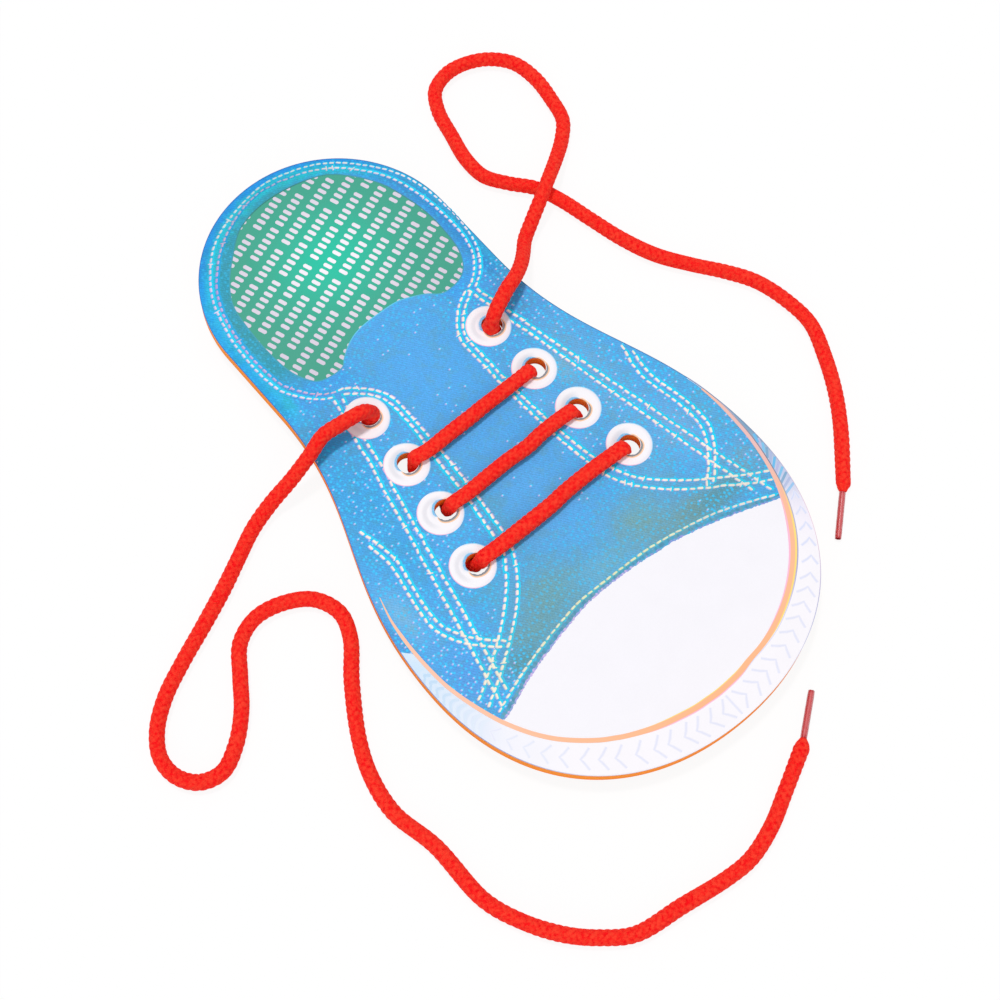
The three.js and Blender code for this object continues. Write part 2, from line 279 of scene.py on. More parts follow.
def heading(turn):
    """The level directions at those turns from +X."""
    return np.stack([np.cos(turn), np.sin(turn)], -1)


def left_of(ways):
    """Level directions turned a quarter to the left."""
    return np.stack([-ways[..., 1], ways[..., 0]], -1)


def left_normals(line, closed=True):
    """The level direction to the left of the way that the line goes."""
    return unit(left_of(np.roll(line, -1, 0) - np.roll(line, 1, 0) if closed else np.gradient(line, axis=0)))


def offset_line(line, left, closed=False):
    """The line moved to its left by a distance that may change along it."""
    return line + left_normals(line, closed) * np.reshape(left, (-1, 1))


def bezier(start, first, second, end, count):
    """A cubic curve with two handles, without its last point."""
    t = np.linspace(0, 1, count, endpoint=False)[:, None]
    start, first, second, end = (np.asarray(x, float) for x in (start, first, second, end))
    return (1 - t)**3 * start + 3 * (1 - t)**2 * t * first + 3 * (1 - t) * t**2 * second + t**3 * end


def board_outline():
    """The board's outline, anticlockwise from the toe.

    Half of it is the toe curve, the flare, the straight side and the round heel, and then come the same
    points mirrored and turned about.
    """
    curve_parts, side_parts, heel_parts = 64, 14, 48
    toe = -BOARD_LENGTH / 2
    widest = toe + TOE_DEPTH
    flare_top = widest + FLARE_LENGTH
    heel_centre = BOARD_LENGTH / 2 - HEEL_HALF
    toe_curve = bezier(
        (0, toe), (TOE_HALF * TOE_HANDLE_SHARE, toe),
        (TOE_HALF, widest - TOE_DEPTH * TOE_HANDLE_SHARE), (TOE_HALF, widest), curve_parts)
    flare = bezier(
        (TOE_HALF, widest), (TOE_HALF, widest + FLARE_LENGTH * FLARE_TOE_HANDLE_SHARE),
        (HEEL_HALF, flare_top - FLARE_LENGTH * FLARE_HEEL_HANDLE_SHARE), (HEEL_HALF, flare_top), curve_parts)
    heights = np.linspace(flare_top, heel_centre, side_parts, endpoint=False)
    side = np.stack([np.full(side_parts, HEEL_HALF), heights], 1)
    heel = [0, heel_centre] + HEEL_HALF * heading(np.linspace(0, np.pi / 2, heel_parts, endpoint=False))
    half = np.vstack([toe_curve, flare, side, heel, [[0, BOARD_LENGTH / 2]]])
    return np.vstack([half, (half[1:-1] * [-1, 1])[::-1]])


def circle(centre, radius, count=56):
    """A clockwise circle, the way a hole's edge runs."""
    return np.asarray(centre) + radius * heading(-2 * np.pi * np.arange(count) / count)


OUTLINE = board_outline()
HOLE_EDGES = [circle(centre, HOLE_RADIUS) for centre in HOLES]


def board_edge(step):
    """Points a step apart along the board's edge."""
    return evenly(OUTLINE, step, closed=True)


def inset_board(depth):
    """The board's outline, moved inwards by a depth."""
    return offset_line(OUTLINE, depth, closed=True)


def inside(points, loops):
    """Which points are in the area: a ray from one towards +X crosses the loops an odd number of times."""
    odd = np.zeros(len(points), bool)
    x, y = points[:, :1], points[:, 1:2]
    for loop in loops:
        following = np.roll(loop, -1, 0)
        rise = following[:, 1] - loop[:, 1]
        rise = np.where(rise == 0, 1, rise)
        spans = (loop[:, 1] > y) != (following[:, 1] > y)
        reach = loop[:, 0] + (following[:, 0] - loop[:, 0]) * (y - loop[:, 1]) / rise
        odd ^= (spans & (x < reach)).sum(1) % 2 == 1
    return odd


def nearest(points, line):
    """Each point's distance to the nearest point of a closely spaced line."""
    best = np.full(len(points), np.inf)
    for part in np.array_split(line, max(len(line) // 100, 1)):
        gaps = np.linalg.norm(points[:, None] - part[None], axis=2)
        best = np.minimum(best, gaps.min(1))
    return best


def from_edge(points):
    """Each point's distance from the board's edge."""
    return nearest(points, board_edge(1.0))


# How near the rim an area's inner points may come, in shares of their spacing, and the rise from one of
# their rows to the next, which makes the triangles equal-sided.
RIM_CLEARANCE = 0.55
ROW_RISE = 0.866


def fill(loops, spacing=None):
    """Triangles over the area inside the first loop and outside the others.

    With a spacing, rows of inner points lie that far apart. Thin slivers on the rim are left out.
    """
    rim = np.vstack(loops)
    counts = [len(loop) for loop in loops]
    starts = np.repeat(np.cumsum([0] + counts[:-1]), counts)
    place = np.arange(len(rim)) - starts
    links = np.stack([starts + place, starts + (place + 1) % np.repeat(counts, counts)], 1)
    points = rim
    if spacing:
        low, high = rim.min(0), rim.max(0)
        rows, columns = np.mgrid[low[1]:high[1]:spacing * ROW_RISE, low[0]:high[0]:spacing]
        shifted = columns + (np.arange(len(rows)) % 2)[:, None] * spacing / 2
        inner = np.stack([shifted.ravel(), rows.ravel()], 1)
        inner = inner[inside(inner, loops)]
        inner = inner[nearest(inner, rim) > RIM_CLEARANCE * spacing]
        points = np.vstack([rim, inner])
    made = delaunay_2d_cdt(list(map(Vector, points.tolist())), links.tolist(), [], 0, 1e-7)
    origin = np.array([found[0] for found in made[3]])
    faces = origin[np.array(made[2])]
    corners = points[faces]
    one, two = corners[:, 1] - corners[:, 0], corners[:, 2] - corners[:, 0]
    area = one[:, 0] * two[:, 1] - one[:, 1] * two[:, 0]
    faces = np.where(area[:, None] < 0, faces[:, ::-1], faces)
    keep = inside(corners.mean(1), loops) & (np.abs(area) > 1e-9)
    return points, faces[keep]


def ring_faces(rings, sides):
    """Four-sided faces between neighbouring rings of points that are listed ring by ring."""
    ring, side = np.mgrid[0:rings - 1, 0:sides]
    after = (side + 1) % sides
    low, high = ring * sides, (ring + 1) * sides
    return np.stack([low + side, low + after, high + after, high + side], 2).reshape(-1, 4)


def make_piece(name, points, faces, finish, smooth=False):
    """Puts points in millimetres and lists of faces into a mesh that rides on the toy's body."""
    mesh = bpy.data.meshes.new(name)
    lists = [row for part in faces for row in np.asarray(part).tolist()]
    mesh.from_pydata((np.asarray(points) * MM).tolist(), [], lists)
    mesh.polygons.foreach_set("use_smooth", np.full(len(lists), smooth))
    mesh.materials.append(finish)
    mesh.validate()
    piece = new_object(name, mesh)
    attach(piece, "root")
    return piece


def paint(piece, name, values):
    """Stores one number, one level place or one colour for each point of a piece."""
    values = np.asarray(values, np.float32)
    width = 1 if values.ndim == 1 else values.shape[1]
    kind, field, filler = {
        1: ("FLOAT", "value", []),
        2: ("FLOAT_VECTOR", "vector", [0]),
        3: ("FLOAT_COLOR", "color", [1]),
    }[width]
    rows = np.column_stack([values, *(np.full(len(values), number, np.float32) for number in filler)])
    piece.data.attributes.new(name, kind, "POINT").data.foreach_set(field, rows.ravel())


def slab(name, points, faces, top, finish=None, root=LAYER_ROOT, **paints):
    """A closed layer of the print, in flat ink where no other finish is given.

    It has the flat faces at the top, the same turned over at the root, and a wall below every edge that
    one face alone has.
    """
    count = len(points)
    start, end = faces.ravel(), np.roll(faces, -1, 1).ravel()
    rim = ~np.isin(start * count + end, end * count + start)
    walls = np.stack([start + count, end + count, end, start], 1)[rim]
    upper = np.column_stack([points, np.broadcast_to(top, count)])
    lower = np.column_stack([points, np.full(count, root)])
    piece = make_piece(
        name, np.vstack([upper, lower]), [faces, faces[:, ::-1] + count, walls], finish or FLAT_INK)
    for label, values in paints.items():
        paint(piece, label, np.concatenate([values, values]))
    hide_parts("printed_face")


# Colours

def ink(red, green, blue):
    """A printed colour from 0 to 255, as the linear light that a shader takes."""
    value = np.array([red, green, blue]) / 255
    return np.where(value < 0.04045, value / 12.92, ((value + 0.055) / 1.055) ** 2.4)


def between(first, second, share):
    """The first at a share of 0, the second at 1, and a blend of both between."""
    return first * (1 - share) + second * share


def airbrush(points, base, strokes):
    """Colours by place, from a base of one colour.

    Each stroke has a middle, two reaches, a strength and a colour. It covers what is there by its
    strength times exp(-(distance / reach)^2).
    """
    shade = np.tile(ink(*base), (len(points), 1))
    for x, y, reach_x, reach_y, strength, colour in strokes:
        gone = ((points[:, 0] - x) / reach_x) ** 2 + ((points[:, 1] - y) / reach_y) ** 2
        shade = between(shade, ink(*colour), (strength * np.exp(-gone))[:, None])
    return shade


def fade(values, low, high):
    """0 below low, 1 above high, and a smooth step between them."""
    t = np.clip((values - low) / (high - low), 0, 1)
    return t * t * (3 - 2 * t)


def ebb(values, low, high):
    """1 below low, 0 above high, and a smooth step between them."""
    return 1 - fade(values, low, high)


def stretch(values, low, full, still, high):
    """0 below low and above high, 1 from full to still, and smooth steps between."""
    return fade(values, low, full) * ebb(values, still, high)


class Bench:
    """Adds nodes to one tree. A value that is a socket is joined, and any other is written in."""

    def __init__(self, tree):
        self.tree = tree

    def put(self, socket, value):
        """Joins or writes in the value of one socket."""
        if isinstance(value, bpy.types.NodeSocket):
            self.tree.links.new(value, socket)
        else:
            socket.default_value = value

    def add(self, kind, inputs=None, **settings):
        """A new node with its settings and inputs."""
        made = self.tree.nodes.new(kind)
        for name, value in settings.items():
            setattr(made, name, value)
        self.fit(made, inputs or {})
        return made

    def fit(self, node, inputs):
        """Joins or writes in a node's inputs by their names or numbers."""
        for place, value in inputs.items():
            self.put(node.inputs[place], value)

    def calc(self, operation, a, b=0.0, c=0.0, clamp=False):
        """One operation on up to three numbers."""
        made = self.add("ShaderNodeMath", {0: a, 1: b, 2: c}, operation=operation, use_clamp=clamp)
        return made.outputs[0]

    def times(self, a, b, clamp=False):
        """The product of two numbers."""
        return self.calc("MULTIPLY", a, b, clamp=clamp)

    def gain(self, value, slope, base, middle=0.0, clamp=False):
        """The base, and the slope times how far the value is from its middle."""
        off = self.calc("SUBTRACT", value, middle) if middle else value
        return self.calc("MULTIPLY_ADD", off, slope, base, clamp)

    def vector(self, operation, a, b=(0, 0, 0), scale=1.0, output=0):
        """One operation on vectors."""
        made = self.add("ShaderNodeVectorMath", {0: a, 1: b, 3: scale}, operation=operation)
        return made.outputs[output]

    def part(self, vector, axis):
        """One number of a vector or a colour."""
        return self.add("ShaderNodeSeparateXYZ", {0: vector}).outputs[axis]

    def cells(self, vector, scale, randomness=1.0, dimensions="3D"):
        """Voronoi cells: the distance from each cell's middle, and a colour of its own."""
        inputs = {"Vector": vector, "Scale": scale, "Randomness": randomness}
        return self.add("ShaderNodeTexVoronoi", inputs, voronoi_dimensions=dimensions).outputs

    def step(self, value, low, high):
        """0 at low, 1 at high and smooth between."""
        made = self.add(
            "ShaderNodeMapRange", {"Value": value, "From Min": low, "From Max": high},
            interpolation_type="SMOOTHSTEP")
        return made.outputs[0]

    def mix(self, share, a, b, blend_type="MIX"):
        """The first colour at a share of 0 and the second at 1."""
        made = self.add("ShaderNodeMix", {0: share, 6: a, 7: b}, data_type="RGBA", blend_type=blend_type)
        return made.outputs[2]

    def noise(self, vector, scale, detail=2.0, roughness=0.5):
        """Cloudy noise from 0 to 1, with so many waves to a unit of the vector."""
        made = self.add(
            "ShaderNodeTexNoise",
            {"Vector": vector, "Scale": scale, "Detail": detail, "Roughness": roughness})
        return made.outputs[0]

    def millimetres(self):
        """Object coordinates in millimetres."""
        place = self.add("ShaderNodeTexCoord").outputs["Object"]
        return self.vector("SCALE", place, scale=1 / MM)

    def attribute(self, name, output="Color"):
        """What was painted on the piece under that name."""
        return self.add("ShaderNodeAttribute", attribute_name=name).outputs[output]

    def bump(self, height, strength, distance):
        """A normal that follows a height, whose full swing is the distance in millimetres."""
        made = self.add(
            "ShaderNodeBump", {"Height": height, "Strength": strength, "Distance": distance * MM})
        return made.outputs[0]

    def layered(self, colour, layers):
        """The colour with each layer over it: a tone, and the factors whose product is its share."""
        for tone, share, *factors in layers:
            for factor in factors:
                share = self.times(share, factor, clamp=True)
            colour = self.mix(share, colour, rgba(*tone))
        return colour


def rgba(red, green, blue):
    """A printed colour with full cover."""
    return (*ink(red, green, blue), 1.0)


def new_group(name, inputs, outputs):
    """An empty node group with named sockets, and the bench to fill it on."""
    tree = bpy.data.node_groups.new(name, "ShaderNodeTree")
    for label, kind, value in inputs:
        socket = tree.interface.new_socket(name=label, in_out="INPUT", socket_type=kind)
        socket.default_value = value
    for label, kind in outputs:
        tree.interface.new_socket(name=label, in_out="OUTPUT", socket_type=kind)
    bench = Bench(tree)
    return tree, bench, bench.add("NodeGroupInput"), bench.add("NodeGroupOutput")


def film_surface():
    """The printed film: fine ink grain on the colour, slow ripples in the gloss and a faint orange peel."""
    tree, bench, given, made = new_group(
        "film_surface",
        [("Colour", "NodeSocketColor", (0.5, 0.5, 0.5, 1)), ("Grain", "NodeSocketFloat", 0.05)],
        [("Colour", "NodeSocketColor"), ("Roughness", "NodeSocketFloat"), ("Normal", "NodeSocketVector")])
    place = bench.millimetres()
    fine = bench.noise(place, 2.6, 2.0, 0.6)
    slow = bench.noise(place, 0.09, 2.0)
    lift = bench.gain(fine, given.outputs["Grain"], 1.0, middle=0.5)
    lift = bench.gain(slow, 0.05, lift, middle=0.5)
    peel = bench.calc("ADD", bench.noise(place, 0.8, 1.0), bench.times(fine, 0.15))
    bench.fit(made, {
        "Colour": bench.vector("SCALE", given.outputs["Colour"], scale=lift),
        "Roughness": bench.gain(slow, 0.2, 0.38),
        "Normal": bench.bump(peel, 0.25, 0.04)})
    return tree


FILM_SURFACE = film_surface()


def new_finish(name):
    """A material, its bench and its shader."""
    material = bpy.data.materials.new(name)
    material.use_nodes = True
    shader = next(n for n in material.node_tree.nodes if n.type == "BSDF_PRINCIPLED")
    return material, Bench(material.node_tree), shader


def cover_with_film(bench, shader, colour, grain):
    """Lays the film's surface over a colour, and joins it to the shader."""
    film = bench.add("ShaderNodeGroup", node_tree=FILM_SURFACE)
    bench.fit(film, {"Colour": colour, "Grain": grain})
    bench.fit(shader, {
        "Base Color": film.outputs["Colour"],
        "Roughness": film.outputs["Roughness"],
        "Normal": film.outputs["Normal"],
        "Specular IOR Level": 0.22})


def flat_ink_finish(name, grain):
    """A plain printed area: its painted shade under the film."""
    material, bench, shader = new_finish(name)
    cover_with_film(bench, shader, bench.attribute("shade"), grain)
    return material


def denim_finish():
    """Printed denim: the painted shade with slow teal patches, fine diagonal threads and soft dots.

    The dots sit in some of the cells of three loose grids. A bright dot is read three times, a little
    apart: rose to the left, cyan to the right and white between, as inks out of register.
    """
    material, bench, shader = new_finish("denim_print")
    place = bench.millimetres()
    shade = bench.attribute("shade")
    speckle = bench.attribute("speckle", "Fac")
    sparkle = bench.attribute("sparkle", "Fac")
    across = bench.gain(bench.part(place, 0), 0.8, bench.times(bench.part(place, 1), 0.6))
    wander = bench.times(bench.noise(place, 0.9), 2.5)
    threads = bench.calc("SINE", bench.gain(across, 7.4, wander))
    light = bench.gain(bench.noise(place, 1.9, 3.0, 0.7), 0.8, 1.0, middle=0.5)
    light = bench.gain(threads, 0.07, light)
    patch = bench.step(bench.noise(place, 0.26, 3.0, 0.6), 0.46, 0.66)
    teal = bench.mix(1.0, shade, (1.22, 0.94, 0.74, 1), "MULTIPLY")
    woven = bench.mix(bench.times(patch, 0.62), shade, teal)

    def dots(scale, shift, chance, rim, core):
        """Soft dots, from rim to core, in that chance of the cells of a grid that is shifted along X."""
        cells = bench.cells(bench.vector("ADD", place, (shift, 0, 0)), scale, 0.8, "2D")
        lot = bench.calc("LESS_THAN", bench.part(cells["Color"], 0), chance)
        return bench.times(bench.step(cells["Distance"], rim, core), lot)

    colour = bench.layered(bench.vector("SCALE", woven, scale=light), [
        ((44, 186, 248), dots(1.15, 0.0, 0.5, 0.42, 0.15), 0.5, speckle),
        ((44, 200, 255), dots(0.56, 0.0, 0.6, 0.36, 0.12), 0.9, speckle),
        ((196, 160, 240), dots(0.42, 0.26, sparkle, 0.20, 0.08), 0.6),
        ((20, 208, 255), dots(0.42, -0.30, sparkle, 0.21, 0.08), 0.9),
        ((200, 222, 252), dots(0.42, 0.0, sparkle, 0.17, 0.06), 0.7)])
    cover_with_film(bench, shader, colour, 0.22)
    return material


def eyelet_finish():
    """A printed eyelet ring.

    Seat is the place from the ring's middle, in shares of its radius, and gap is the distance from the
    hole's edge in millimetres. The ring is white with a grey groove on one side. Next to the hole it has
    a cool crescent on the heel's side, and a ragged steel one inside a peach line on the toe's side.
    """
    material, bench, shader = new_finish("eyelet_print")
    step, gain = bench.step, bench.gain
    seat = bench.attribute("seat", "Vector")
    way = bench.vector("NORMALIZE", seat)
    gap = bench.attribute("gap", "Fac")
    place = bench.millimetres()
    rough = bench.calc("SUBTRACT", bench.noise(place, 1.3, 3.0, 0.7), 0.5)
    sharp = bench.noise(place, 2.6, 2.0, 0.6)
    drawn = bench.noise(bench.vector("SCALE", way, scale=2.4), 1.0, 2.0, 0.6)
    reach = gain(rough, 0.05, bench.vector("LENGTH", seat, output="Value"))

    def towards(x, y):
        """1 on the side of the ring that faces that way, and -1 on the other."""
        return bench.vector("DOT_PRODUCT", way, (x, y, 0), output="Value")

    left, right = towards(-0.76, 0.65), towards(0.76, -0.65)
    lower, upper = towards(0.13, -0.99), towards(-0.5, 0.86)
    outer_edge = step(reach, 0.94, 0.985)
    beyond = bench.calc("SUBTRACT", gap, bench.times(step(lower, 0.1, 0.85), 0.9))
    ragged = gain(drawn, 1.1, gap, middle=0.5)
    cool = step(bench.calc("SUBTRACT", gain(rough, 0.6, gap), step(upper, 0.0, 0.8)), 0.05, -0.35)
    steel = bench.times(step(gain(rough, 0.3, beyond), 0.06, -0.06), step(lower, 0.1, 0.3))
    groove = [
        ((190, 191, 204), 0.32, step(reach, 0.52, 0.62), step(reach, 0.84, 0.68), step(left, -0.2, 0.8)),
        ((222, 214, 234), 0.35, step(reach, 0.8, 0.95), step(right, -0.2, 0.9))]
    fringes = [
        ((248, 172, 212), 0.75, outer_edge, step(towards(-1, -0.05), 0.0, 0.7)),
        ((112, 204, 240), 0.75, outer_edge, step(towards(1, 0.05), 0.0, 0.7))]
    cool_crescent = [
        ((176, 204, 228), 0.5, step(gap, 2.2, 0.4), step(upper, 0.1, 0.9)),
        ((150, 200, 238), 0.9, step(gain(rough, 0.5, gap), 0.0, -0.4), step(upper, 0.0, 0.3)),
        ((104, 194, 240), 0.95, cool),
        ((206, 190, 232), 0.55, cool, step(sharp, 0.5, 0.6)),
        ((92, 82, 96), 0.65, step(gap, 0.3, 0.05), step(upper, 0.0, 0.6), step(rough, -0.12, 0.06))]
    peach_line = [
        ((255, 200, 150), 0.9, step(beyond, 0.55, 0.35), step(bench.calc("MAXIMUM", right, lower), 0.0, 0.4))]
    steel_crescent = [
        ((136, 142, 150), 0.95, steel),
        ((92, 94, 102), 0.8, steel, step(drawn, 0.56, 0.64)),
        ((52, 50, 58), 0.9, steel, step(ragged, 0.42, 0.34)),
        ((244, 244, 248), 0.95, steel, step(ragged, 0.26, 0.18))]
    colour = bench.layered(
        rgba(248, 246, 251), [*groove, *fringes, *cool_crescent, *peach_line, *steel_crescent])
    cover_with_film(bench, shader, colour, 0.04)
    return material


def foam_finish():
    """Closed-cell foam dyed right through: small cells that mottle the colour and pit the cut edge.

    Towards the bottom the cut edge is painted deeper and darker in colour, as painted shade from the floor
    close below.
    """
    material, bench, shader = new_finish("orange_foam")
    place = bench.millimetres()
    cells = bench.cells(place, 2.4)["Distance"]
    slow = bench.noise(place, 0.16, 3.0)
    # Painted shade: the cut edge is darker towards the bottom, near the floor.
    floor_shade = bench.step(bench.gain(bench.noise(place, 0.5), 0.6, bench.part(place, 2)), 6.4, 5.1)
    tone = bench.mix(floor_shade, rgba(255, 152, 42), rgba(255, 134, 16))
    light = bench.gain(slow, 0.12, 1.0, middle=0.5)
    light = bench.gain(cells, 0.12, light, middle=0.4)
    bench.fit(shader, {
        "Base Color": bench.vector("SCALE", tone, scale=light),
        "Roughness": bench.gain(slow, 0.2, 0.62),
        "Normal": bench.bump(cells, 0.35, 0.12),
        "Specular IOR Level": 0.25})
    return material


def lace_finish():
    """Dyed red yarn with the fibres' lines along each strand, and random patches. Painted shade makes it
    crimson between the strands, and a painted highlight makes it orange-red on them.
    """
    material, bench, shader = new_finish("red_braid")
    place = bench.millimetres()
    fuzz = bench.noise(place, 3.2, 3.0, 0.65)
    slow = bench.noise(place, 0.12, 2.0)
    patch = bench.noise(place, 0.85, 2.0, 0.6)
    lines = bench.calc("SINE", bench.gain(bench.attribute("fibre", "Fac"), 16.0, bench.times(fuzz, 3.0)))
    # Painted shade and highlight: crimson low in the braid's relief, orange-red high on the strands; noise
    # adds random patches.
    share = bench.gain(fuzz, 1.2, bench.times(bench.attribute("relief_shade", "Fac"), 0.8), middle=0.5)
    share = bench.gain(patch, 3.0, share, middle=0.53)
    share = bench.gain(lines, 0.08, share, clamp=True)
    colour = bench.mix(share, rgba(250, 0, 16), rgba(255, 66, 44))
    bench.fit(shader, {
        "Base Color": bench.mix(bench.times(slow, 0.2), colour, rgba(255, 34, 24)),
        "Roughness": bench.gain(fuzz, 0.2, 0.7),
        "Normal": bench.bump(bench.gain(lines, 0.5, fuzz), 0.45, 0.08),
        "Specular IOR Level": 0.12,
        "Sheen Weight": 0.12,
        "Sheen Roughness": 0.5,
        "Sheen Tint": (1.0, 0.3, 0.2, 1.0)})
    return material


def aglet_finish():
    """A tinted plastic film, rolled tight: dull see-through red, painted paler along its top as a painted
    highlight.
    """
    material, bench, shader = new_finish("aglet_film")
    place = bench.millimetres()
    cloud = bench.noise(place, 0.7, 3.0)
    fine = bench.noise(place, 4.0, 2.0)
    tone = bench.mix(cloud, rgba(206, 42, 54), rgba(174, 22, 34))
    # Painted highlight: a paler band along the tip's top.
    share = bench.times(bench.attribute("top_highlight", "Fac"), bench.gain(cloud, 0.6, 0.5), clamp=True)
    bench.fit(shader, {
        "Base Color": bench.mix(share, tone, rgba(226, 112, 114)),
        "Roughness": bench.gain(fine, 0.15, 0.2),
        "Normal": bench.bump(bench.calc("ADD", cloud, fine), 0.2, 0.05),
        "Transmission Weight": 0.15,
        "IOR": 1.45})
    return material


FLAT_INK = flat_ink_finish("flat_ink", 0.05)
STITCH_INK = flat_ink_finish("stitch_ink", 0.25)
DENIM = denim_finish()
EYELET = eyelet_finish()
FOAM = foam_finish()
BRAID = lace_finish()
AGLET = aglet_finish()


# The lace

def beside_hole(hole, direction, reach, height):
    """Points at a reach from a hole's middle towards a level direction, at a height."""
    reach, height = np.broadcast_arrays(np.asarray(reach, float), np.asarray(height, float))
    level = np.asarray(hole) + np.multiply.outer(reach, direction)
    return np.column_stack([np.atleast_2d(level), np.atleast_1d(height)])


QUARTER = np.linspace(0, np.pi / 2, 12)


def rim_bend(hole, direction, rim, side, radius):
    """A quarter turn about the rim's corner, from inside the hole to level."""
    reach = HOLE_RADIUS - radius * np.cos(QUARTER)
    return beside_hole(hole, direction, reach, rim + side * radius * np.sin(QUARTER))


def exit_bend(hole, angle):
    """Up out of the hole from its far side, a quarter turn to level, and a short straight."""
    direction = heading(angle)
    reach = EXIT_LEAN + EXIT_BEND_RADIUS * (1 - np.cos(QUARTER))
    turn = beside_hole(hole, direction, reach, BOARD_TOP + EXIT_BEND_RADIUS * np.sin(QUARTER))
    last = beside_hole(
        hole, direction, EXIT_LEAN + EXIT_BEND_RADIUS + EXIT_STRAIGHT, BOARD_TOP + EXIT_BEND_RADIUS)
    return np.vstack([turn, last])


def run_directions(start, end, bow):
    """The level directions out of both ends of a run that is bowed to the right of its way."""
    chord = end - start
    aside = -unit(left_of(chord)) * 4 * bow
    return unit(chord + aside), unit(aside - chord)


def pulled_inward(hole):
    """A hole's middle, moved towards the board's own in all but the first holes, where nothing pulls."""
    first = hole[1] == HOLES_LEFT[0, 1]
    return hole if first else hole - [math.copysign(INWARD_PULL, hole[0]), 0]


def lace_run(start_hole, end_hole, bow, under):
    """One run: a quarter turn about each rim, and between them a cubic curve that leaves both level."""
    rim, side, radius = (BOARD_BOTTOM, -1, RIM_BEND_RADIUS) if under else (BOARD_TOP, 1, RIM_HUG_RADIUS)
    leaving, arriving = run_directions(start_hole, end_hole, bow)
    if under:
        start_hole, end_hole = pulled_inward(start_hole), pulled_inward(end_hole)
    start = rim_bend(start_hole, leaving, rim, side, radius)
    end = rim_bend(end_hole, arriving, rim, side, radius)[::-1]
    handle = np.linalg.norm(end[0] - start[-1]) / 3
    middle = bezier(
        start[-1], start[-1] + np.append(leaving, 0) * handle,
        end[0] + np.append(arriving, 0) * handle, end[0], 36)[1:]
    return np.vstack([start, middle, end])


def laid_bar(run, sways):
    """A run over the board, raised by a smooth hump and swayed along Y by its way from the left hole."""
    left, right = run[:, 0].min(), run[:, 0].max()
    inward = np.minimum(run[:, 0] - left, right - run[:, 0])
    places = (run[:, 0] - left) / (right - left)
    fine = np.linspace(0, 1, 81)
    bent = smooth_line(np.column_stack([SWAY_PLACES, sways]), parts=16)
    sway = np.interp(fine, bent[:, 0], bent[:, 1])
    run = run.copy()
    run[:, 1] += np.interp(places, fine, sway)
    run[:, 2] += BAR_RISE * fade(inward, *BAR_HUMP)
    return run


def threaded_line():
    """The tight lace from above the first hole to above the last, under and over the board by turns."""
    visits = [HOLES_LEFT[0], HOLES_LEFT[3], HOLES_RIGHT[3], HOLES_RIGHT[2],
              HOLES_LEFT[2], HOLES_LEFT[1], HOLES_RIGHT[1], HOLES_RIGHT[0]]
    bows = [LONG_RUN_BOW, 0, 0, 0, SHORT_RUN_BOW, 0, 0]
    sways = {1: BAR_SWAYS[2], 3: BAR_SWAYS[1], 5: BAR_SWAYS[0]}
    line = [exit_bend(visits[0], LEFT_EXIT_ANGLE)[::-1]]
    for i, bow in enumerate(bows):
        run = lace_run(visits[i], visits[i + 1], bow, under=i % 2 == 0)
        line.append(laid_bar(run, sways[i]) if i in sways else run)
    return np.vstack([*line, exit_bend(visits[-1], RIGHT_EXIT_ANGLE)])


def tail_line(leaving, angle, route, heights, tip):
    """A free tail: a smooth curve through its route, then straight on to the end of its core.

    Past the heights that are given it lies on the floor.
    """
    direction = np.append(heading(angle), 0)
    start = leaving + direction * TAIL_GAP
    stations = np.column_stack([route, heights + [LACE_RADIUS] * (len(route) - len(heights))])
    line = smooth_line([start, start + direction * TAIL_LEAD, *stations])
    end = line[-1]
    tip_way = unit(tip - end)
    core = end + tip_way * (SHOULDER_LENGTH + CORE_LENGTH)
    return np.vstack([line, core]), travelled(line)[-1], end, tip_way


THREADED = threaded_line()
LEFT_TAIL, LEFT_FREE, LEFT_END, LEFT_WAY = tail_line(
    THREADED[0], LEFT_EXIT_ANGLE, LEFT_TAIL_ROUTE, LEFT_TAIL_HEIGHTS, LEFT_AGLET_TIP)
RIGHT_TAIL, RIGHT_FREE, RIGHT_END, RIGHT_WAY = tail_line(
    THREADED[-1], RIGHT_EXIT_ANGLE, RIGHT_TAIL_ROUTE, RIGHT_TAIL_HEIGHTS, RIGHT_AGLET_TIP)


def carried_frames(line):
    """Two directions square to the line at each station.

    They are carried along it by mirroring twice, so that they never twist.
    """
    along = unit(np.gradient(line, axis=0))
    side = np.zeros_like(line)
    side[0] = unit(np.cross(along[0], [0, 0, 1]))
    for i in range(len(line) - 1):
        step = line[i + 1] - line[i]
        square = step @ step
        turned = side[i] - 2 / square * (step @ side[i]) * step
        way = along[i] - 2 / square * (step @ along[i]) * step
        other = along[i + 1] - way
        size = other @ other
        if size > 1e-12:
            turned = turned - 2 / size * (other @ turned) * other
        side[i + 1] = turned
    return side, np.cross(along, side)


def wrapped(angle, period):
    """An angle brought to within half a period of 0, as a share of that half."""
    return (angle / period - np.round(angle / period)) * 2


def waves(along, kinds):
    """The sum of a few sines along the lace, each of a reach, a start and a size."""
    return sum(size * np.sin(along / reach + start) for reach, start, size in kinds)


def square_ways(turn, side, up):
    """Directions square to a line, at those turns from its side direction towards its up direction."""
    return np.cos(turn)[..., None] * side + np.sin(turn)[..., None] * up


